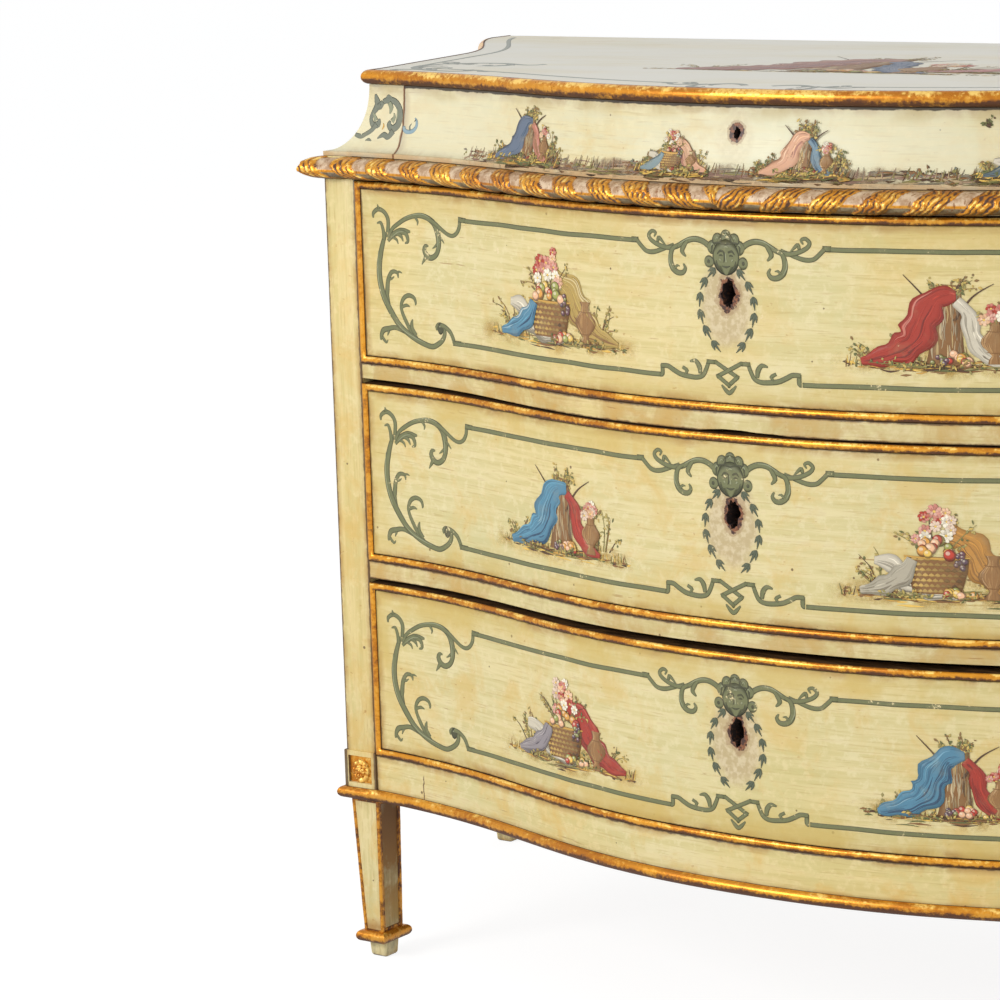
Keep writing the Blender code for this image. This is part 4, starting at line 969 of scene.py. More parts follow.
for (level_name, bottom, height), stain, aging in zip(drawer_levels, (0.35, 0.6, 0.6), (0.45, 0.62, 0.75)):
    body = f"{level_name}_drawer"
    top = bottom + height
    hole_z = top - keyhole_drop - hole_drop
    panel = {"Middle": (0, 0, (bottom + top) / 2), "Half_Size": (core_half_width, 9, height / 2 - bead_width)}
    front_paint = start_material(f"{level_name}_front_paint")
    place = object_place()
    edge = add("Group", node_tree=near_edge, Vector=place, Reach=0.0055, **panel)
    surface = add("Group", node_tree=cream_paint, Vector=place, Staining=stain, Crevice=edge["Crevice"],
                  Dirt=edge["Mask"] * 0.75)
    finish_surface(surface, 0.30, 0.0003)
    rim = add("Group", node_tree=near_edge, Vector=place, Reach=0.021, **panel)
    aged = rim["Mask"] * spread(cloud(place, 14.0, 4.0, 0.6), 0.40, 0.60, 0.12, aging)
    varnished = over(surface["Color"], aged, (0.60, 0.44, 0.125))
    feed(shader, Base_Color=keyhole_damage(place, varnished, (0.0, 0, hole_z), (0.0105, 0.0155), bottom * 7))
    front = bowed_board(f"{level_name}_front_board", core_half_width, bottom + core_inset, top - core_inset,
                        front_thickness, front_paint, [f"{body}_front"], body)
    hole = ragged_keyhole(hole_z, hole_width, hole_height, front_centre_y + 0.03, level_name)
    cut_through(front, hole, torn_wood)

    stations = bead_loop(bead_half_width, bottom, top)
    arc = [math.pi * k / 8 for k in range(9)]
    section = [(0.0, front_thickness)]
    section += [(bead_width * (1 - math.cos(a)) / 2, -bead_proud * math.sin(a)) for a in arc]
    section += [(bead_width, front_thickness), (0.0, front_thickness)]

    def bead_place(i, j):
        x, z, inward_x, inward_z = stations[i]
        across, depth = section[j]
        worn = 0.0003 * value_noise.noise(Vector((x * 30, z * 30, 0)))
        x, z = x + inward_x * across, z + inward_z * across
        return Vector((x, face_y(x) + depth + (worn if depth < 0 else 0), z))

    bm = swept(len(stations) - 1, len(section) - 1, bead_place)
    # faces behind the front's face take the dark painted shade of the gap
    for face in bm.faces:
        middle = face.calc_center_median()
        face.material_index = int(middle.y > face_y(middle.x) + 0.0008)
    new_piece(f"{level_name}_cock_bead", bm, [bead_gilt, bead_side_shade], [f"{body}_bead"], body, 50)
    dress_drawer(body)


# Painting on the deep drawers: oil colour laid with a brush over the cream ground. A grey-green
# frame of scrolls, a mask and a garland of husks round each keyhole, and in each field a small
# group of fruit, flowers and cloth on a strip of ground.
def smooth_path(points, widths, step):
    """Close places on a soft curve through the given ones, each with its width."""
    knots = np.array([points[0], *points, points[-1]], float)
    line, shares = [], []
    for k in range(1, len(knots) - 2):
        a, b, c, d = knots[k - 1:k + 3]
        count = max(1, math.ceil(np.linalg.norm(c - b) / step))
        for u in (i / count for i in range(count)):
            line.append((2 * b + (c - a) * u + (2 * a - 5 * b + 4 * c - d) * u * u
                         + (3 * b - a - 3 * c + d) * u ** 3) / 2)
            shares.append((k - 1 + u) / (len(points) - 1))
    line.append(knots[-1])
    wide = np.interp(shares + [1.0], np.linspace(0, 1, len(widths)), widths)
    return np.array(line), wide


leaf_green, leaf_dark, leaf_light = (0.136, 0.143, 0.062), (0.050, 0.052, 0.022), (0.25, 0.265, 0.15)
thinnest, first_lift, skin_depth, long_step = 0.25, 0.0001, 0.00006, 6.0
fine_rows, broad_rows, wash_rows, broad_from = 2, 4, 12, 1.5


def painted_strokes(name, strokes, place_on, materials, body, step=1.6, rise=0.0000022):
    """Brush strokes of (points, widths, colour) in millimetres, laid on a face one over another.

    place_on gives the place of a point with its height over the face. Washes, which name a
    fourth value, take the second material.
    """
    bm = bmesh.new()
    run = bm.verts.layers.float.new("run")
    tint = bm.verts.layers.float_color.new("tint")
    owner = bm.verts.layers.int.new("owner")
    columns = {fine_rows: [], broad_rows: [], wash_rows: []}
    for number, (points, widths, colour, *wash) in enumerate(strokes):
        line, wide = smooth_path(points, widths, long_step if wash or len(points) == 2 else step)
        ahead = np.gradient(line, axis=0)
        normal = np.stack([-ahead[:, 1], ahead[:, 0]], 1)
        normal /= np.maximum(np.linalg.norm(normal, axis=1, keepdims=True), 1e-6)
        reach = normal * np.maximum(wide, thinnest)[:, None]
        rows = wash_rows if wash else broad_rows if max(widths) > broad_from else fine_rows
        columns[rows] += [(spot, out, share, number, colour)
                          for spot, out, share in zip(line, reach, np.linspace(0, 1, len(line)))]
    for rows, laid in columns.items():
        if not laid:
            continue

        def place(i, j):
            spot = laid[i][0] + laid[i][1] * (j / rows - 0.5)
            return place_on(spot[0] / 1000, spot[1] / 1000, first_lift + rise * laid[i][3])

        for corner in place_grid(bm, len(laid) - 1, rows, place):
            _, _, share, number, colour = laid[round(corner[run] * (len(laid) - 1))]
            corner[run], corner[owner], corner[tint] = share, number, (*colour, 1)
    bridges = [f for f in bm.faces if len({v[owner] for v in f.verts}) > 1]
    bmesh.ops.delete(bm, geom=bridges, context="FACES")
    for face in bm.faces:
        face.material_index = len(strokes[face.verts[0][owner]]) - 3
    skin = bmesh.ops.extrude_face_region(bm, geom=bm.faces[:])["geom"]
    behind = place_on(0, 0, 0) - place_on(0, 0, skin_depth)
    bmesh.ops.translate(bm, vec=behind, verts=[v for v in skin if isinstance(v, bmesh.types.BMVert)])
    bmesh.ops.recalc_face_normals(bm, faces=bm.faces)
    return new_piece(name, bm, materials, body=body, sharp=180)


def stroke_tint():
    return add("Attribute", attribute_name="tint")["Color"]


def oil_colour(name, edge_dark, wear, gloss=0.45):
    """Colour kept on each stroke, thinner and darker at its edges, rubbed through in places."""
    material = start_material(name)
    place = object_place()
    tint = stroke_tint()
    across = surface_value("across")
    core = maths("MINIMUM", spread(across, 0.0, 0.26), spread(across, 1.0, 0.72))
    hairs = cloud(place, 420.0, 3.0, 0.6)
    thick = core * 0.7 + hairs * 0.5
    shade = add("MapRange", _0=thick, _1=0.12, _2=1.0, _3=1 - edge_dark, _4=1.22)[0]
    colour = over(tint, 1.0, add("CombineColor", _0=shade, _1=shade, _2=shade)[0], "MULTIPLY")
    broad = cloud(place, 55.0, 4.0, 0.6)
    colour = layered(colour,
                     (spread(broad, 0.50, 0.75, 0.0, 0.20), (0.40, 0.33, 0.17)),
                     (spread(hairs * 0.45 + broad * 0.55, wear, wear + 0.03), (0.74, 0.62, 0.34)))
    feed(shader, Base_Color=colour, Roughness=spread(hairs, 0.3, 0.7, gloss, gloss + 0.15))
    roughen(0.15, 0.0003, thick)
    return material


scroll_paint = oil_colour("scroll_oil_colour", 0.60, 0.615)
picture_paint = oil_colour("picture_oil_colour", 0.10, 0.66)
wash_paint = start_material("thin_wash")
place = object_place()
fade = [maths("SINE", surface_value(side) * math.pi) for side in ("run", "across")]
thin = maths("POWER", fade[0], 0.8) * maths("POWER", fade[1], 1.3)
feed(shader, Base_Color=stroke_tint(), Roughness=spread(cloud(place, 90.0), 0.3, 0.7, 0.45, 0.6),
     Alpha=thin * spread(cloud(place, 38.0, 5.0, 0.7), 0.42, 0.68, 0.0, 0.75))


def round_dab(x, z, radius, colour, steps=8):
    """A round touch of the brush."""
    reach = [math.cos(math.pi * k / steps) for k in range(steps + 1)]
    return ([(x - radius * r, z) for r in reach],
            [2 * radius * math.sqrt(max(0.01, 1 - r * r)) for r in reach], colour)


def mirrored_strokes(strokes, middle):
    """The same strokes on the other side of a line."""
    return [([(2 * middle - x, z) for x, z in points], *rest) for points, *rest in strokes]


def both_sides(points, widths, colour):
    """A stroke of the mask and its mirror image."""
    return [(points, widths, colour), *mirrored_strokes([(points, widths, colour)], keyhole_x)]


def two_dabs(x, *rest):
    return [round_dab(x, *rest), round_dab(2 * keyhole_x - x, *rest)]


keyhole_x = -1.5
# the frame's strokes are leaf green where no other colour is given
corner_scroll = [
    ([(-447, 66), (-446, 74), (-444, 84), (-439, 91), (-432, 91), (-430.5, 86)], [4, 5, 4.5, 4, 3.5, 3, 1]),
    ([(-440, 50), (-445, 58), (-447, 68)], [4, 5, 5]),
    ([(-432, 91.5), (-428, 92), (-425, 91)], [2, 1.8, 0.6]),
    ([(-442, 84), (-439, 85), (-436, 87)], [2.5, 2, 0.6]),
    ([(-408, 29), (-416, 36), (-422, 44), (-427, 53), (-428, 60), (-424, 67), (-417, 70), (-410, 68),
      (-408, 63), (-409, 61)],
     [4, 4, 4, 3.5, 3.5, 4, 4, 3.5, 2.5, 1]),
    ([(-427, 58), (-421, 60), (-416, 59)], [3, 3, 0.8]),
    ([(-409, 32), (-414, 38), (-414.5, 43), (-413, 47)], [4, 4, 3.5, 1]),
    ([(-420, 33), (-430, 36), (-438, 37.5), (-446, 36), (-453, 34), (-456, 29), (-457, 24)],
     [4, 4, 4, 4.5, 5, 4, 1.6]),
    ([(-455, 27), (-450, 22.5), (-447.5, 25)], [3, 2.5, 0.8]),
    ([(-446, 34), (-448, 29)], [3, 0.8]),
    ([(-445, 128), (-449, 120), (-453, 108), (-455.5, 95), (-455, 82), (-452, 70), (-447, 60), (-440, 50),
      (-431, 40), (-420, 33), (-408, 28), (-396, 25), (-386, 24), (-378, 27), (-371, 32), (-368, 38),
      (-370, 43), (-376, 45.5), (-380, 43), (-379, 40)],
     [3, 4.5, 5.5, 6, 6, 6, 6.2, 6, 5.5, 5, 5, 4.8, 4.6, 4.6, 4.6, 4.5, 4.5, 4, 3, 1.5]),
    ([(-378.5, 42), (-376.5, 42), (-374, 42), (-371.5, 42), (-369.5, 42)], [2, 8, 10, 8, 2], leaf_dark),
    ([(-376, 43.5), (-374, 44), (-372, 43)], [1, 2, 0.8], leaf_light),
    ([(-443, 128), (-442, 140), (-446, 147), (-454, 150), (-461, 146), (-461.5, 141)],
     [4, 4.2, 4, 4, 3.5, 1.5]),
    ([(-454, 150), (-455.5, 154.5)], [4, 0.8]),
    ([(-448, 121), (-449, 130), (-452, 137), (-457, 136)], [4.5, 3.5, 3, 1]),
    ([(-443, 120), (-435, 127), (-426, 130.5), (-419, 131), (-412, 131)], [3, 5, 6, 5, 1.6]),
    ([(-426, 130), (-419, 129), (-416, 125), (-416, 121), (-420, 119.5)], [4, 4, 4, 3, 1]),
    ([(-431, 128), (-425, 126), (-422, 121)], [3, 3.5, 0.8]),
    ([(-436, 124), (-431, 122), (-429, 118)], [2.5, 2.5, 0.8]),
    ([(-443, 123), (-437, 132), (-428, 138), (-418, 143), (-407, 146), (-396, 147), (-385, 145), (-377, 140),
      (-373, 132), (-372, 124), (-373, 117), (-377, 111), (-384, 108), (-390, 110), (-393, 115), (-391, 119),
      (-387, 119)],
     [3, 3.5, 4, 4, 4, 4.5, 5, 6, 6.5, 6, 5, 4.8, 4.8, 5.5, 5, 3.4, 1.2]),
    ([(-391, 109), (-394, 105), (-397, 101)], [4.5, 2.8, 0.6]),
    ([(-372, 130), (-367, 126), (-364, 123)], [3, 2, 0.6]),
    ([(-374, 122), (-378, 119), (-381.5, 117)], [3, 2, 0.6]),
    ([(-404, 145), (-401, 141), (-402, 137.5)], [3, 2.4, 0.6]),
    ([(-386, 145), (-376, 141), (-367, 136), (-359, 132), (-352, 131), (-346, 134), (-342, 140),
      (-341, 147.5)],
     [4.5, 4, 3.6, 3.4, 3.4, 3.6, 3.8, 3.8]),
    ([(-343, 147.5), (-332, 147)], [4.4, 4.4]),
    ([(-341, 146.8), (-98, 146.4)], [3.8, 3.8]),
    ([(-374, 45.5), (-367, 44), (-360, 40), (-356, 34.5), (-354, 29.5)], [4, 4, 4, 4, 4]),
    ([(-356, 30), (-344, 29.8)], [4.4, 4.4]),
    ([(-354, 29.6), (-74, 28.6)], [3.8, 3.8]),
    # light touches along the upper side of the thick stems
    ([(-456, 110), (-457.5, 95), (-457, 82), (-454, 70), (-449, 59)], [0.5, 1.3, 1.4, 1.2, 0.5], leaf_light),
    ([(-436, 43), (-424, 34.5), (-410, 29.5), (-396, 26.5)], [0.4, 1.1, 1.2, 0.4], leaf_light),
    ([(-420, 144), (-407, 147.5), (-394, 148.5), (-383, 146)], [0.4, 1.1, 1.2, 0.4], leaf_light),
    ([(-374.5, 134), (-373, 124), (-374.5, 117)], [0.5, 1.5, 0.5], leaf_light),
    ([(-439, 123), (-430, 129), (-421, 131)], [0.4, 1.2, 0.4], leaf_light),
]
centre_scroll = [
    ([(-104, 147), (-96, 147)], [4.4, 4.4]),
    ([(-98, 146.8), (-92, 141), (-87, 137.5), (-79, 137), (-68, 140), (-56, 144.5)],
     [3.5, 3.5, 3.6, 3.8, 3.4, 2.6]),
    ([(-14, 141), (-22, 147.5), (-30, 150.5), (-38, 150), (-46, 146.5), (-53, 143), (-60, 141.5), (-68, 142),
      (-76, 144.5), (-82, 148), (-84, 152), (-80, 155.5), (-76, 154), (-78, 150.5)],
     [4.6, 4.6, 4.6, 4.4, 4.2, 4, 4, 3.8, 3.6, 3.4, 3.2, 3, 2.4, 1]),
    ([(-74, 146), (-73, 150), (-70, 148), (-65, 143)], [2.6, 3, 2.6, 0.8]),
    ([(-52, 144), (-58, 140), (-60, 131), (-58, 124), (-53, 120), (-47, 120), (-44, 124), (-46, 128)],
     [3, 4, 4.5, 5, 4.5, 4, 3, 1.2]),
    ([(-56, 123), (-53, 126), (-50, 125.5)], [2, 2, 0.6]),
    ([(-41, 149), (-45, 144), (-47, 139), (-43, 134.5)], [2.5, 4, 4, 1.2]),
    ([(-30, 151.6), (-40, 150.8), (-50, 145.5)], [0.4, 1.3, 0.4], leaf_light),
    ([(-61.5, 136), (-61.5, 129), (-58, 122.5)], [0.4, 1.3, 0.4], leaf_light),
    ([(-74, 28.6), (-72, 29.5), (-72, 37.5)], [3.8, 3.8, 3.6]),
    ([(-73.5, 36.5), (-66, 36.5), (-60, 33.5), (-52, 30), (-42, 28.5), (-34, 28.5), (-28, 31), (-24, 38),
      (-22, 43.5)],
     [3.6, 3.8, 4, 4, 4, 3.8, 3.6, 3.4, 3.2]),
    ([(-50, 36.5), (-45, 33.5), (-48, 30.5)], [2.6, 3, 1]),
    ([(-42, 42), (-36, 43), (-32, 38.5), (-31, 32)], [1.2, 3.6, 4.5, 3]),
]
keyhole_scroll = [
    ([(-24, 43.5), (-14.5, 43.5)], [3.4, 3.4]), ([(-15.5, 44.2), (9, 30.5)], [3.3, 3.3]),
    ([(8.2, 31.8), (-3.2, 22.2)], [3.3, 3.3]), ([(21, 43.5), (11.5, 43.5)], [3.4, 3.4]),
    ([(12.5, 44.2), (-14, 30.5)], [3.3, 3.3]), ([(-13.2, 31.8), (0.2, 22.2)], [3.3, 3.3]),
    ([(-9, 23.5), (-5, 19), (-1.5, 16.5), (2, 19), (6, 23.5)], [1.2, 3.2, 3.6, 3.2, 1.2]),
    # mask: a crown of five leaves, two volutes and a blank face with brow, nose and mouth
    *two_dabs(-15.0, 144.5, 5.6, leaf_green), *two_dabs(-10.0, 151.0, 5.4, leaf_green),
    round_dab(-1.5, 154.0, 5.4, leaf_green), round_dab(-1.5, 147.0, 9.0, leaf_green),
    *two_dabs(-19.0, 131.5, 4.8, leaf_green), *two_dabs(-19.4, 131.5, 1.5, leaf_dark),
    round_dab(-1.5, 136.0, 13.8, leaf_dark), round_dab(-1.5, 136.4, 12.8, leaf_green),
    ([(-1.5, 120.5), (-1.5, 124), (-1.5, 128)], [1.5, 7, 13]),
    *both_sides([(-16, 140), (-15, 147), (-9, 148.5), (-1.5, 147)], [1, 1.6, 1.6, 1.0], leaf_dark),
    *both_sides([(-9, 148), (-6.5, 151), (-6, 156)], [0.8, 1.5, 0.6], leaf_dark),
    *both_sides([(-14, 147), (-15, 150), (-14.5, 153)], [0.8, 1.4, 0.6], leaf_dark),
    ([(-10.5, 138.5), (-7.5, 141.5), (-3.6, 140.2), (-3.2, 134), (-4.2, 131.4)], [0.6, 1.8, 1.4, 1.3, 0.8],
     leaf_dark),
    ([(7.5, 138.5), (4.5, 141.5), (0.6, 140.2)], [0.6, 1.8, 1.4], leaf_dark),
    *both_sides([(-8.8, 137.3), (-6.6, 137.9), (-4.8, 137.2)], [0.6, 1.5, 0.6], leaf_dark),
    ([(-5.6, 128.4), (-1.5, 127.4), (2.6, 128.4)], [0.6, 1.7, 0.6], leaf_dark),
    *both_sides([(-11.5, 133), (-10.2, 128), (-6.2, 124)], [0.6, 1.5, 0.6], leaf_dark),
    ([(-2.0, 139.5), (-1.6, 134), (-1.2, 131.6)], [0.8, 1.3, 1.6], leaf_light),
    ([(-8.2, 134.5), (-6.5, 132.6)], [2.0, 1.2], leaf_light),
    ([(5.6, 134.5), (4.0, 132.6)], [2.0, 1.2], leaf_light),
    ([(-3.5, 144.8), (-1.5, 145.4), (0.5, 144.8)], [0.6, 1.6, 0.6], leaf_light),
    ([(-3, 154), (-1.5, 156.5), (0, 154)], [0.6, 1.5, 0.6], leaf_light),
    *both_sides([(-12, 151), (-10.5, 153.5), (-9, 152)], [0.6, 1.4, 0.6], leaf_light),
    *both_sides([(-17, 145), (-15.5, 147.5), (-14, 146.5)], [0.6, 1.4, 0.6], leaf_light),
]
husk_green = (0.082, 0.098, 0.058)
husks = [((-13, 126), (-21, 117)), ((-22, 117), (-28.5, 106)), ((-28.5, 104), (-30, 91)), ((-30, 89), (-26.5, 76)),
         ((-26, 75), (-18.5, 63)), ((-18, 62), (-9, 53)), ((10, 126), (18, 117)), ((19, 116), (25.5, 105)),
         ((25.5, 103), (27, 91)), ((27, 89), (24, 76)), ((23.5, 75), (16.5, 63)), ((16, 62), (7, 53))]
for start, end in husks:
    along = Vector((end[0] - start[0], end[1] - start[1]))
    aside = along.orthogonal().normalized()
    for spread_out, reach in ((-1.9, 0.62), (1.9, 0.62), (0.0, 0.92)):
        tip = along * reach + aside * spread_out * 1.8
        belly = along * 0.40 * reach + aside * spread_out
        leaf = [start, (start[0] + belly.x, start[1] + belly.y), (start[0] + tip.x, start[1] + tip.y)]
        keyhole_scroll.append((leaf, [0.6, 2.7, 0.5], husk_green))
    keyhole_scroll.append(([start, end], [0.6, 0.6], husk_green))

# colours of the small groups, mixed for every field
carmine, deep_red, clay, rose = (0.43, 0.045, 0.025), (0.16, 0.018, 0.012), (0.44, 0.25, 0.10), (0.58, 0.22, 0.17)
sky_blue, deep_blue = (0.115, 0.30, 0.42), (0.025, 0.065, 0.12)
umber, dark_umber = (0.20, 0.095, 0.030), (0.065, 0.030, 0.012)
ochre, gold_ochre, russet, peach = (0.50, 0.285, 0.060), (0.70, 0.46, 0.10), (0.62, 0.30, 0.06), (0.74, 0.43, 0.25)
olive, moss, chalk = (0.215, 0.185, 0.055), (0.105, 0.115, 0.035), (0.80, 0.73, 0.58)
stone, stone_dark = (0.52, 0.47, 0.36), (0.20, 0.17, 0.12)
earths = (ochre, umber, olive, gold_ochre, umber, dark_umber, moss)
greens = ((0.40, 0.31, 0.09), (0.27, 0.23, 0.08), (0.52, 0.37, 0.10), (0.22, 0.13, 0.045), moss)
fruits = (gold_ochre, peach, carmine, russet, (0.30, 0.31, 0.075), peach)
flowers = (rose, chalk, peach, carmine, (0.66, 0.48, 0.36))
grapes = ((0.085, 0.045, 0.075), (0.13, 0.055, 0.075), (0.21, 0.215, 0.065))


def between_colours(a, b, share):
    return tuple(p + (q - p) * share for p, q in zip(a, b))


def lit(light, dark, shade, palest):
    """A colour between the light and the dark one, or towards chalk where the shade is under 0."""
    return between_colours(light, dark, min(1.0, shade)) if shade > 0 else between_colours(
        light, chalk, min(palest, -shade))


def fruit(rng, x, z, radius, colour):
    under, glint = between_colours(colour, dark_umber, 0.7), between_colours(colour, chalk, 0.45)
    return [round_dab(x, z, radius, under, 6),
            round_dab(x - radius * 0.10, z + radius * 0.12, radius * 0.80, colour, 6),
            round_dab(x - radius * 0.28, z + radius * 0.32, radius * 0.36, glint, 6)]


def flower(rng, x, z, radius, colour):
    """Petals in two turns round a dark eye."""
    strokes = []
    for ring, count, tone in ((1.0, 7, 0.0), (0.62, 5, 0.35)):
        turn = rng.uniform(0, 1)
        for k in range(count):
            angle = 2 * math.pi * (k + turn) / count
            out = radius * ring
            towards = dark_umber if rng.random() < 0.4 else chalk
            shade = between_colours(colour, towards, rng.uniform(0.05, 0.3) + tone * 0.3)
            petal = [(x + share * out * math.cos(angle + bend), z + share * out * math.sin(angle + bend))
                     for share, bend in ((0.2, 0), (0.7, 0.15), (1, 0.4))]
            strokes.append((petal, [0.5, out * 0.75, 0.6], shade))
    return strokes + [round_dab(x, z, radius * 0.2, gold_ochre)]


def heap(rng, x, z, wide, high, size, count, colours, touch):
    """Fruit or flowers piled in a mound, the far ones laid first."""
    strokes = []
    for k in range(count):
        share = (k + 0.5) / count
        px = x + wide * rng.uniform(-1, 1) * (0.35 + 0.65 * share)
        pz = z + high * (1 - share) * rng.uniform(0.8, 1.1)
        strokes += touch(rng, px, pz, size * rng.uniform(0.75, 1.2), rng.choice(colours))
    return strokes


def foliage(rng, x, z, wide, high, count, colours):
    """Bushy growth: bent twigs with small leaves set along them."""
    strokes = []
    for twig in range(max(3, count // 8)):
        angle, reach = rng.uniform(0.06, 0.94) * math.pi, rng.uniform(0.5, 1.15)
        root = Vector((x + wide * 0.3 * math.cos(angle), z - high * 0.6))
        tip = Vector((x + wide * reach * math.cos(angle), z + high * (1.6 * reach * math.sin(angle) - 0.6)))
        bend = (root + tip) / 2 + Vector((rng.uniform(-0.12, 0.12) * wide, rng.uniform(0, 0.3) * high))
        bark = rng.choice((umber, dark_umber, olive))
        strokes.append(([tuple(root), tuple(bend), tuple(tip)], [1.1, 0.8, 0.3], bark))
        for leaf in range(8):
            share = rng.uniform(0.2, 1.05)
            drift = Vector((rng.gauss(0, 1.4), rng.gauss(0, 1.4)))
            spot = root.lerp(bend, share).lerp(bend.lerp(tip, share), share) + drift
            turn, size = rng.uniform(0, 2 * math.pi), rng.uniform(1.6, 4.4)
            end = spot + Vector((math.cos(turn), math.sin(turn))) * size
            strokes.append(([tuple(spot), tuple((spot + end) / 2), tuple(end)], [0.5, rng.uniform(1.2, 2.8), 0.4],
                            rng.choice(colours)))
    return strokes


def ground(rng, x, z, half, count, colours=earths):
    """Low strip of earth and grass, thinning out at its ends."""
    strokes = [([(x - half * 1.15, z + 2), (x, z + 5), (x + half * 1.15, z + 1)], [20, 36, 16],
                (0.56, 0.36, 0.08), "wash")]
    for k in range(count):
        place = rng.uniform(-1, 1)
        px, pz = x + half * place, z + rng.gauss(0, 2.8) * (1 - 0.5 * abs(place)) + 1.5 * math.sin(place * 5)
        length = rng.uniform(3, 15) * (1.2 - abs(place))
        touch = [(px - length, pz + rng.uniform(-1, 1)), (px, pz + rng.uniform(-0.8, 0.8)),
                 (px + length, pz + rng.uniform(-1.2, 1.2))]
        strokes.append((touch, [0.3, rng.uniform(0.8, 2.6), 0.3], rng.choice(colours)))
    for k in range(count // 2):
        px, lean = x + half * rng.uniform(-1, 1), rng.uniform(-3, 3)
        blade = [(px, z + rng.uniform(-2, 2)), (px + lean * 0.4, z + rng.uniform(2, 5)),
                 (px + lean, z + rng.uniform(4, 10))]
        strokes.append((blade, [1.0, 0.8, 0.3], rng.choice(colours)))
    return strokes


def cloth(rng, x, z, size, path, widths, light, dark):
    """A length of cloth thrown down: a ragged outline, dark hollows and light crests along it."""
    line, wide = smooth_path([(x + dx * size, z + dz * size) for dx, dz in path], [w * size for w in widths], 4.0)
    wide = np.asarray(wide) * (1 + 0.16 * np.sin(np.arange(len(wide)) * 1.1 + rng.uniform(0, 6)))
    ahead = np.gradient(line, axis=0)
    normal = np.stack([-ahead[:, 1], ahead[:, 0]], 1) / np.linalg.norm(ahead, axis=1, keepdims=True)
    upper = -1 if normal[len(line) // 2][1] < 0 else 1
    strokes = [([tuple(p) for p in line], [float(w) for w in wide], between_colours(light, dark, 0.45))]
    for k in range(max(14, int(1.3 * float(np.max(wide))))):
        aside = rng.uniform(-0.44, 0.44)
        reach = rng.randint(3, max(4, len(line) // 2))
        start = rng.randint(0, max(0, len(line) - reach))
        converge = rng.uniform(-0.35, 0.35)
        points = [tuple(line[i] + normal[i] * wide[i] * (aside * (1 - converge * (i - start) / reach)))
                  for i in range(start, min(len(line), start + reach))]
        colour = lit(light, dark, 0.5 - 0.9 * aside * upper + rng.uniform(-0.55, 0.55), 0.6)
        if len(points) > 2:
            strokes.append((points, [0.3, rng.uniform(0.7, 2.2), rng.uniform(0.5, 1.6), 0.3], colour))
    return strokes


def basket(rng, x, z, wide, high):
    body = [([(x, z), (x, z + high * 0.6), (x, z + high)], [wide * 0.72, wide * 0.95, wide], umber)]
    for row in range(7):
        level = z + high * (row + 0.5) / 7
        reach = wide * (0.36 + 0.14 * (row + 0.5) / 7)
        for k in range(9):
            px = x - reach + 2 * reach * (k + (0.6 if row % 2 else 0.2)) / 9
            tone = min(1.0, 0.15 + 0.09 * k + rng.uniform(-0.15, 0.2))
            cane = [(px - reach * 0.11, level - 0.4), (px, level + 0.4), (px + reach * 0.11, level - 0.4)]
            body.append((cane, [0.4, high * 0.11, 0.4], between_colours((0.62, 0.40, 0.11), dark_umber, tone)))
    rim = [(x - wide * 0.52, z + high), (x, z + high - 1.5), (x + wide * 0.52, z + high)]
    return body + [(rim, [1.2, 2.2, 1.2], ochre)]


def urn(rng, x, z, high):
    """A turned clay jar with a foot, a full belly and a neck, lit from the left."""
    shape = [0.34, 0.30, 0.16, 0.34, 0.56, 0.66, 0.62, 0.44, 0.26, 0.24, 0.34]
    points = [(x, z + high * k / 10) for k in range(11)]
    strokes = [(points, [high * w for w in shape], between_colours(clay, umber, 0.8))]
    for k in range(26):
        aside = rng.uniform(-0.46, 0.40)
        start = rng.randint(0, 7)
        reach = [(px + aside * high * shape[i], pz) for i, (px, pz) in enumerate(points)][start:start + 4]
        colour = lit(clay, umber, 0.35 + 1.3 * (aside + 0.15) + rng.uniform(-0.25, 0.25), 0.4)
        strokes.append((reach, [0.3, rng.uniform(0.6, 1.5), 0.3], colour))
    for level in (0.28, 0.78):
        ring = [(x - high * 0.20, z + high * level), (x, z + high * (level - 0.02)),
                (x + high * 0.20, z + high * level)]
        strokes.append((ring, [0.5, 1.0, 0.5], umber))
    return strokes


def stump(rng, x, z, wide, high):
    """A broken tree trunk, its bark in ragged touches, with two bare branches."""
    strokes = [([(x + lean * wide * 0.2, z + high * 0.55), (x + lean * wide * 0.8, z + high * 0.85),
                 (x + lean * wide * 1.5, z + high * rise)], [2.6, 1.5, 0.5], dark_umber)
               for lean, rise in ((-1, 1.12), (1, 1.02))]
    strokes.append(([(x - wide * 0.08, z), (x, z + high * 0.5), (x + wide * 0.10, z + high)],
                    [wide * 1.35, wide * 0.9, wide * 0.66], umber))
    for k in range(54):
        aside, low = rng.uniform(-0.5, 0.5), rng.uniform(0, 0.78)
        px = x + aside * wide * (1.2 - 0.5 * low)
        tone = min(1.0, max(0.0, 0.42 + 0.8 * aside + rng.uniform(-0.35, 0.35)))
        colour = between_colours(between_colours((0.56, 0.38, 0.15), stone, rng.random() * 0.7), dark_umber, tone)
        bark = [(px, z + low * high), (px + rng.uniform(-1.2, 1.2), z + (low + 0.11) * high),
                (px + rng.uniform(-1, 1), z + (low + 0.22) * high)]
        strokes.append((bark, [0.4, rng.uniform(0.8, 2.0), 0.3], colour))
    return strokes


def put_down(seed, x, z, size, steps):
    """A group laid step by step: each is a touch, its place, its measures at full size, and the rest."""
    rng = random.Random(seed)
    strokes = []
    for touch, dx, dz, measures, *rest in steps:
        strokes += touch(rng, x + dx * size, z + dz * size, *(m * size for m in measures), *rest)
    return strokes


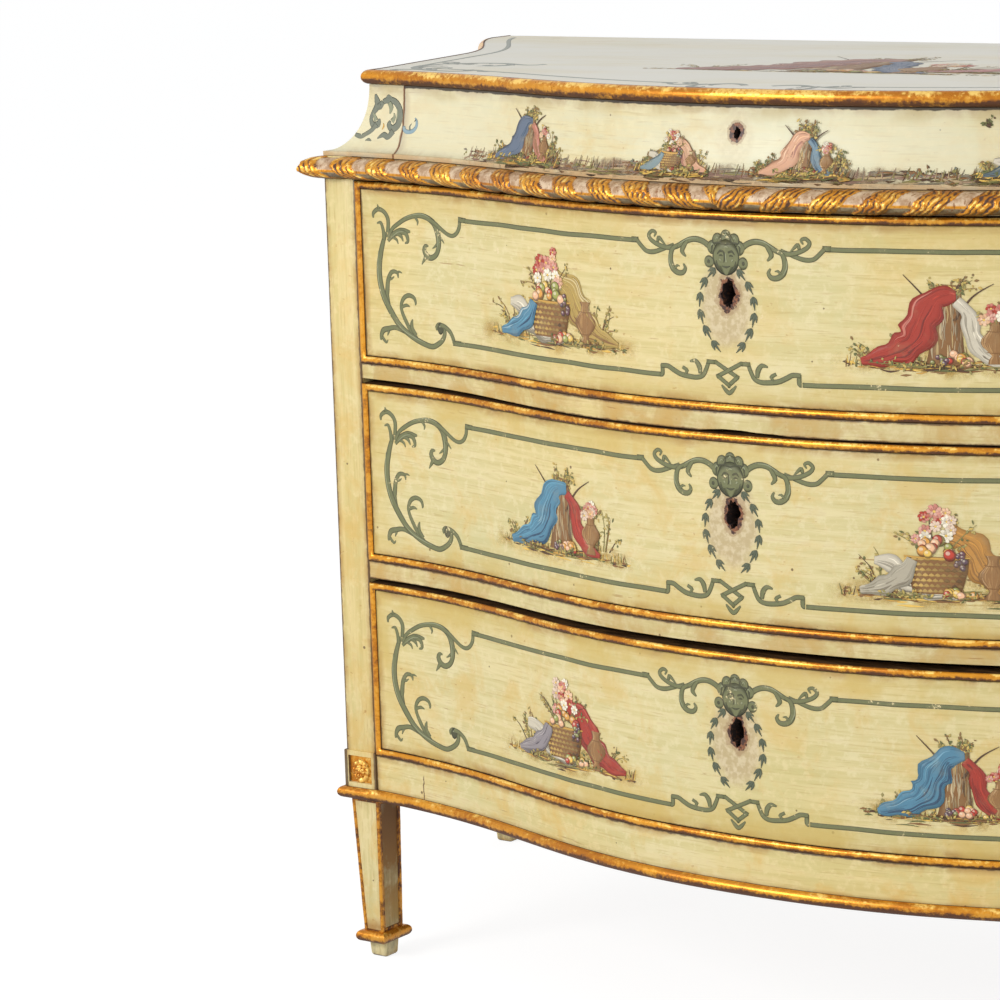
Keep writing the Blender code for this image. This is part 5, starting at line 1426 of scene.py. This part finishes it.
def basket_group(seed, x, z, size, light, dark, second, second_dark):
    """A basket of fruit and flowers, with cloths trailing over the ground and a jar beside it."""
    low_path = ((-46, 24), (-34, 22), (-24, 12), (-8, 5), (10, 2))
    return put_down(seed, x, z, size, (
        (ground, 0, 0, (70,), 100),
        (foliage, -40, 16, (26, 16), 96, greens),
        (foliage, 42, 14, (24, 14), 80, greens),
        (cloth, 0, 0, (1,), low_path, (6, 12, 16, 12, 4), chalk, stone_dark),
        (cloth, 0, 0, (1,), ((2, 44), (18, 36), (28, 20), (44, 8), (62, 3)), (12, 20, 22, 14, 4), light, dark),
        (urn, 32, 0, (30,)),
        (basket, -4, 3, (42, 25)),
        (foliage, -4, 42, (28, 17), 72, greens),
        (heap, -4, 39, (17, 22, 4.4), 13, flowers, flower),
        (heap, -4, 29, (18, 11, 3.5), 15, fruits, fruit),
        (heap, 12, 20, (5, 12, 1.9), 12, grapes, fruit),
        (cloth, 0, 0, (1,), ((-20, 26), (-26, 16), (-40, 7), (-56, 3)), (7, 14, 13, 4), second, second_dark),
        (heap, 8, 2, (16, 4, 3.0), 8, fruits, fruit),
        (foliage, 0, 2, (56, 3), 64, greens)))


def stump_group(seed, x, z, size, light, dark, second, second_dark):
    """A great cloth thrown over a broken trunk, with a jar of flowers and some fruit beside it."""
    great_path = ((8, 54), (-6, 52), (-16, 38), (-24, 20), (-42, 9), (-64, 3))
    small_path = ((8, 50), (17, 40), (20, 24), (30, 9), (46, 3))
    return put_down(seed, x, z, size, (
        (ground, 0, 0, (78,), 110),
        (foliage, 50, 18, (24, 18), 96, greens),
        (foliage, -50, 12, (26, 14), 72, greens),
        (stump, 2, 2, (22, 60)),
        (foliage, 3, 62, (20, 12), 80, greens),
        (cloth, 0, 0, (1,), great_path, (8, 18, 27, 27, 18, 5), light, dark),
        (cloth, 0, 0, (1,), small_path, (7, 12, 14, 12, 4), second, second_dark),
        (urn, 36, 3, (32,)),
        (foliage, 36, 38, (12, 8), 30, greens),
        (heap, 36, 34, (10, 12, 4.0), 9, flowers, flower),
        (heap, 10, 3, (15, 7, 3.3), 11, fruits, fruit),
        (heap, -4, 3, (7, 6, 1.9), 10, grapes, fruit),
        (foliage, 0, 2, (58, 4), 72, greens)))


field_groups = {
    "upper": [basket_group(11, -206, 46, 1.34, (0.52, 0.38, 0.10), umber, sky_blue, deep_blue),
              stump_group(12, 200, 48, 1.14, carmine, deep_red, chalk, stone_dark)],
    "middle": [stump_group(21, -204, 46, 1.12, sky_blue, deep_blue, carmine, deep_red),
               basket_group(22, 196, 42, 1.30, russet, umber, stone, stone_dark)],
    "lower": [basket_group(31, -204, 42, 1.24, carmine, deep_red, (0.36, 0.32, 0.33), (0.10, 0.085, 0.10)),
              stump_group(32, 204, 42, 1.06, sky_blue, deep_blue, carmine, deep_red)],
}
frame_low, frame_high = 28.5, 147.0
freehand_drift, drift_places = 0.0008, (Vector((3.3, 7.1, 0.4)), Vector((40.6, 17.9, 5.2)))
scroll = corner_scroll + mirrored_strokes(corner_scroll, -1.0) + centre_scroll
scroll += mirrored_strokes(centre_scroll, keyhole_x) + keyhole_scroll
scroll = [(points, [w * 1.16 for w in widths], *(colour or [leaf_green])) for points, widths, *colour in scroll]
scroll_lines = {"upper": (frame_low, frame_high), "middle": (27.0, 146.0), "lower": (26.0, 142.0)}
for level_name, bottom, height in drawer_levels:
    body = f"{level_name}_drawer"
    low_line, high_line = scroll_lines[level_name]
    stretch = (high_line - low_line) / (frame_high - frame_low)

    def on_front(x, z, lift):
        return Vector((x, face_y(x) - lift, bottom + z))

    def on_scroll(x, z, lift):
        """The frame is drawn freehand, so that no two drawers have quite the same."""
        z = low_line / 1000 + (z - frame_low / 1000) * stretch
        spot = Vector((x * 22, z * 22, bottom * 40))
        aside, upwards = (value_noise.noise(spot + shift) * freehand_drift for shift in drift_places)
        return on_front(x + aside, z + upwards, lift)

    painted_strokes(f"{level_name}_scroll_painting", scroll, on_scroll, [scroll_paint], body)
    for field, strokes in zip(("left", "right"), field_groups[level_name]):
        painted_strokes(f"{level_name}_field_painting_{field}", strokes, on_front, [picture_paint, wash_paint],
                        body, rise=0.0000012)


# Frieze: a shallow drawer whose front is a long cove, between two coved corner pieces mitred round
# to the sides. Gesso and paint like the rest, but greyer and more rubbed, on a small upright lip.
frieze_bottom, frieze_top, frieze_corner_top = 0.7986, 0.8656, 0.8659
cove_lip, cove_depth, cove_side_depth, cove_wood = 0.004, 0.0215, 0.043, 0.016
joint_x, frieze_keyhole_z, frieze_dirt_z, frieze_dirt_half = 0.432, 0.8411, 0.832, 0.033


def cove_section(bottom, top, steps=28):
    rise = top - bottom - cove_lip
    profile = [(0.0, 0.0, bottom), (0.0, 0.0, bottom + cove_lip * 0.6)]
    for k in range(steps + 1):
        angle = math.pi / 2 * k / steps
        inward = math.sin(angle)
        profile.append((-cove_depth * inward, -cove_side_depth * inward,
                        bottom + cove_lip + rise * (1 - math.cos(angle))))
    behind = (-cove_depth - cove_wood, -cove_side_depth - cove_wood)
    return profile + [(*behind, top), (*behind, bottom), (0.0, 0.0, bottom)]


def frieze_paint(name, dirt_half_width, keyhole=None):
    material = start_material(name)
    place = object_place()
    edge = add("Group", node_tree=near_edge, Vector=place, Middle=(0, 0, frieze_dirt_z), Reach=0.006,
               Half_Size=(dirt_half_width, 9, frieze_dirt_half))
    surface = add("Group", node_tree=cream_paint, Vector=place, Staining=0.55, Ground=(0.70, 0.66, 0.44),
                  Crevice=edge["Crevice"], Dirt=edge["Mask"] * 0.8)
    finish_surface(surface, 0.35, 0.0003)
    where = add("SeparateXYZ", _0=place)
    handled = spread(where[2], 0.848, 0.860) * spread(cloud(place, 20.0, 4.0), 0.40, 0.62)
    ledge = spread(where[2], 0.8034, 0.8024) * spread(cloud(place, 34.0, 4.0), 0.3, 0.6, 0.35, 0.95)
    cracked = (cloud(place, 90.0, 3.0) - 0.5) * 0.004
    by_joint = maths("ABSOLUTE", maths("ABSOLUTE", where[0]) - joint_x + cracked)
    on_side = spread(maths("ABSOLUTE", where[0]), 0.50, 0.49)
    colour = layered(surface["Color"],
                     (spread(cloud(place, 4.0, 3.0), 0.35, 0.62, 0.05, 0.50), (0.76, 0.76, 0.60)),
                     (handled * 0.6, (0.52, 0.42, 0.20)),
                     (ledge, (0.56, 0.39, 0.20)),
                     (spread(by_joint, 0.0017, 0.0009) * on_side * 0.85, (0.22, 0.085, 0.030)))
    if keyhole:
        # a near-black band along the top of the drawer front: painted shadow under the top's edge moulding
        top_gap_shadow = spread(where[2] + cracked, 0.8628, 0.8640, 0.0, 0.92)
        colour = over(colour, top_gap_shadow, (0.020, 0.010, 0.005))
        colour = keyhole_damage(place, colour, keyhole, (0.0078, 0.0088), 3.0, 0.25)
    feed(shader, Base_Color=colour)
    return material


front_reach, frieze_columns = joint_x - 0.0006, 96
frieze_front_paint = frieze_paint("frieze_front_paint", front_reach, (0, 0, frieze_keyhole_z))
section = cove_section(frieze_bottom, frieze_top)


def frieze_place(i, j):
    x = front_reach * (2 * i / frieze_columns - 1)
    forward, _, z = section[j]
    return Vector((x, face_y(x) - forward, z))


bm = swept(frieze_columns, len(section) - 1, frieze_place)
for face in bm.faces:
    middle = face.calc_center_median()
    on_top_edge = face.normal.z > 0.7 and middle.z > frieze_top - 0.001
    face.material_index = int(on_top_edge or middle.y > face_y(middle.x) + 0.030)
frieze_front = new_piece("frieze_front_cove", bm, [frieze_front_paint, pine_drawer_back],
                         ["frieze_drawer_front"], "frieze_drawer", 30)
cut_through(frieze_front, ragged_keyhole(frieze_keyhole_z, 0.0085, 0.0150, front_centre_y + 0.045, "frieze"),
            torn_wood)
dress_drawer("frieze_drawer")

corner_paint = frieze_paint("frieze_corner_paint", 9)
corner_section = cove_section(frieze_bottom, frieze_corner_top)
front_steps, side_steps = 12, 48
for hand, mark in (("left", -1), ("right", 1)):

    def corner_place(i, j):
        forward, outward, z = corner_section[j]
        if i <= front_steps:
            x = joint_x + (front_half_width + outward - joint_x) * i / front_steps
            return Vector((mark * x, face_y(x) - forward, z))
        spot = outline_point(1 + (i - front_steps) / side_steps, forward, outward)
        return Vector((mark * spot.x, spot.y, z))

    new_piece(f"frieze_corner_cove_{hand}", swept(front_steps + side_steps, len(corner_section) - 1, corner_place),
              [corner_paint], [f"frieze_corner_{hand}"], sharp=30)


# Painting on the frieze: a low strip of earth and grass with fruit, flowers and cloth along the
# drawer, and a leafy scroll on each corner piece whose curl runs over the joint on to the drawer.
def on_cove(x, z, lift):
    """A place on the cove by its height over the frieze's foot, lifted square off it."""
    rise = frieze_top - frieze_bottom - cove_lip
    level = min(max((z - cove_lip) / rise, 0.0), 1.0)
    inward = math.sqrt(1 - (1 - level) ** 2)
    out = Vector((0, -rise * inward, cove_depth * (1 - level))).normalized()
    return Vector((x, face_y(x) + cove_depth * inward, frieze_bottom + z)) + out * lift


slate, sage = (0.150, 0.165, 0.125), (0.230, 0.245, 0.160)
pale_blue, dull_brown = (0.22, 0.32, 0.37), (0.34, 0.15, 0.11)
corner_leaves = [
    ([(-460, 51), (-453, 53), (-444, 51.7), (-438, 45.5), (-436.5, 37.8), (-439, 30), (-445.5, 26.3),
      (-450.5, 30), (-448.7, 33.4)],
     [4, 5.5, 5.5, 6, 6.5, 6.5, 6, 5, 2], slate),
    ([(-470, 58), (-468, 52), (-467, 47.4), (-472.7, 39.7), (-474.5, 34), (-471.4, 29), (-465, 30),
      (-463.8, 35)],
     [2, 6, 7, 4, 4, 5, 6, 2], slate),
    ([(-460, 51), (-464, 47), (-468, 46)], [4, 6, 4], slate),
    ([(-452, 51), (-449, 46), (-450.5, 40)], [4, 5, 1], sage),
    ([(-492, 19.5), (-484.6, 18), (-478.6, 20.4), (-472, 24.3), (-467, 30)], [3, 4, 3.6, 4, 5], slate),
    ([(-463, 16.7), (-455.6, 20.4), (-449.3, 18.6), (-444, 24.5)], [1, 4.5, 4.5, 6], slate),
    ([(-478, 14.4), (-474, 15.4), (-470, 14.2)], [0.6, 2.4, 0.6], slate),
    ([(-468, 33), (-470, 37), (-473, 41)], [5, 3, 0.8], sage),
    ([(-447, 33), (-444, 37), (-445, 41)], [5, 3, 0.8], sage),
    ([(-456, 54), (-453, 56.5), (-448, 55.5)], [1, 3, 0.8], slate),
    ([(-441, 46), (-440, 40), (-441.5, 34)], [0.6, 2, 0.6], sage),
    ([(-459, 25), (-457, 28), (-458, 31)], [0.6, 1.8, 0.6], ochre),
]
drawer_curl = [
    ([(-430, 29.5), (-429.6, 26.6), (-425.3, 24.3), (-417.7, 25.3), (-413.4, 30), (-413.9, 34.9),
      (-416.4, 37.5)],
     [3.4, 4, 4, 4, 3.6, 3, 1], pale_blue),
    ([(-421, 25.5), (-422.5, 29), (-420, 32)], [2, 1.8, 0.5], slate),
    ([(-414.5, 36), (-417, 34)], [1.4, 0.6], slate),
]
leaves = [(points, [w * 1.2 for w in widths], colour) for points, widths, colour in corner_leaves]
painted_strokes("frieze_corner_painting_left", leaves, on_cove, [picture_paint], "carcass")
painted_strokes("frieze_corner_painting_right", mirrored_strokes(leaves, 0.0), on_cove, [picture_paint], "carcass")

worn_earths = (umber, stone_dark, (0.34, 0.23, 0.15), (0.24, 0.14, 0.105), (0.42, 0.31, 0.17), olive, dark_umber)
rng = random.Random(50)
frieze_strokes = drawer_curl + mirrored_strokes(drawer_curl, 0.0)
for middle in (-262, -130, 5, 140, 270):
    strip = ground(rng, middle, 7.5, 78, 110, worn_earths)
    band = [(middle - 76, 6), (middle, 9), (middle + 76, 6)]
    frieze_strokes += [(band, [9, 19, 9], (0.30, 0.19, 0.12), "strip")]
    frieze_strokes += [stroke for stroke in strip if len(stroke) == 3]
    frieze_strokes += foliage(rng, middle + rng.uniform(30, 60), 13, 26, 4, 46, (umber, olive, dark_umber, slate))
frieze_strokes += (foliage(rng, 222, 55, 13, 3.2, 30, (moss, dark_umber))
                   + stump_group(51, -250, 8, 0.66, (0.17, 0.19, 0.24), deep_blue, rose, umber)
                   + basket_group(52, -64, 8, 0.60, peach, dull_brown, pale_blue, slate)
                   + stump_group(53, 68, 8, 0.62, peach, dull_brown, pale_blue, deep_blue)
                   + basket_group(54, 262, 8, 0.60, peach, rose, slate, deep_blue))
frieze_strokes = [stroke for stroke in frieze_strokes if stroke[-1] != "wash"]
painted_strokes("frieze_drawer_painting", frieze_strokes, on_cove, [picture_paint, wash_paint], "frieze_drawer",
                rise=0.0000005)


# Top: one wide board with a gilt half-round planted round its front and sides. Its paint is the
# palest, rubbed grey by use.
top_bottom, top_z, top_paint_drop, top_edge_depth = 0.8662, 0.8800, 0.0006, 0.007
top_front_inset, top_side_inset, top_line_y, side_reach = 0.0147, 0.0375, 0.250, 339
top_paint = start_material("top_paint")
place = object_place()
surface = add("Group", node_tree=cream_paint, Vector=place, Streaks=(9, 120, 120), Staining=0.25,
              Ground=(0.80, 0.75, 0.58))
finish_surface(surface, 0.25, 0.0003)
pale = spread(cloud(stretched(place, (2.0, 5.0, 5.0)), 1.5, 4.0), 0.30, 0.62, 0.45, 0.9)
feed(shader, Base_Color=over(surface["Color"], pale, (0.83, 0.81, 0.725)))
board = bmesh.new()
board.from_mesh(cad["top_board"].data)
board.transform(cad["top_board"].matrix_world)
for corner in board.verts:
    if corner.co.z > top_z - 0.0005:
        corner.co.z -= top_paint_drop
new_piece("top_board_painted", board, [top_paint], ["top_board"], sharp=30)


def on_top(x, y, lift):
    """A place on the top, its depth counted from a line near the front edge."""
    return Vector((x, y - top_line_y, top_z - top_paint_drop + lift))


def border_line(start, end):
    """A painted line that keeps its distance from the edge of the top."""
    line = [outline_point(start + (end - start) * k / 60, -0.0597, -0.0695) for k in range(61)]
    return ([(spot.x * 1000, (spot.y + top_line_y) * 1000) for spot in line], [4.5, 4.5], worn_slate)


worn_slate = (0.27, 0.285, 0.25)
top_strokes = [border_line(-1.92, -0.20), border_line(0.20, 1.92)]
top_strokes += [([(x, (z - 143) * 1.25 + 44) for x, z in points], [w * 1.5 for w in widths], worn_slate)
                for points, widths, *_ in centre_scroll + mirrored_strokes(centre_scroll, 0.0)
                if points[0][1] > 110]
top_strokes += [([(x, (z - 24) * 0.75 + 112) for x, z in points], [w * 1.5 for w in widths], worn_slate)
                for points, widths, *_ in corner_scroll + mirrored_strokes(corner_scroll, 0.0)
                if min(abs(points[-1][0]), abs(points[0][0])) > side_reach]
top_strokes += stump_group(61, -30, 185, 2.4, (0.46, 0.24, 0.17), (0.17, 0.11, 0.12), (0.20, 0.21, 0.26),
                           deep_blue)
top_strokes += basket_group(62, 190, 205, 2.1, (0.20, 0.20, 0.25), (0.10, 0.10, 0.13), rose, (0.20, 0.15, 0.17))
top_strokes = [stroke for stroke in top_strokes if len(stroke) == 3]
painted_strokes("top_painting", top_strokes, on_top, [picture_paint, wash_paint], "carcass",
                step=3.0, rise=0.0000002)

top_edge_section = [(d - top_front_inset - top_edge_depth, d - top_side_inset - top_edge_depth, z)
                    for d, z in half_round(top_edge_depth - joint_gap, top_bottom, top_z, 12)]
top_edge_section += top_edge_section[:1]
top_gilt = gilt("top_edge_gilding", 0.35, 0.08, 0.90, (0.0, 0.92))
sweep("top_edge_gilt", even_runs(100, 70), lambda run: top_edge_section, top_gilt, ["top_edge_moulding"])


# Rosettes: an oval gilt flower carved for each front block, glued into the sunk panel.
rosette_gilt = gilt("rosette_gilding", 0.20, crest=0.96)
rosette_rings, rosette_spokes, boss_edge, inner_edge = 22, 96, 0.24, 0.52
for hand, mark in (("left", -1), ("right", 1)):
    centre = Vector((mark * (opening_half_width + 0.01925), post_face_y + 0.0002, 0.1910))

    def petal(i, j):
        """Polar grid: eight outer petals round eight inner ones and a boss."""
        angle = 2 * math.pi * j / rosette_spokes
        radius = share = i / rosette_rings
        if share > inner_edge:
            lobe = abs(math.cos(4 * angle)) ** 0.55
            radius = share * (0.90 + 0.10 * lobe)
            rise = (0.35 + 0.65 * lobe) * math.sin(math.pi * min(1, (1 - share) / 0.48)) ** 0.6
            height = 0.0010 + 0.0024 * rise
        elif share > boss_edge:
            lobe = abs(math.sin(4 * angle)) ** 0.6
            height = 0.0028 + 0.0016 * lobe * math.sin(math.pi * (inner_edge - share) / 0.28) ** 0.7
        else:
            height = 0.0028 + 0.0026 * math.sqrt(max(0, 1 - (share / boss_edge) ** 2))
        if i == rosette_rings:
            height = 0.0
        return centre + Vector((0.0106 * radius * math.cos(angle), -height, 0.0122 * radius * math.sin(angle)))

    new_piece(f"rosette_carved_{hand}", swept(rosette_rings, rosette_spokes, petal, 1e-5), [rosette_gilt],
              [f"rosette_{hand}"], sharp=70)


bpy.context.view_layer.update()
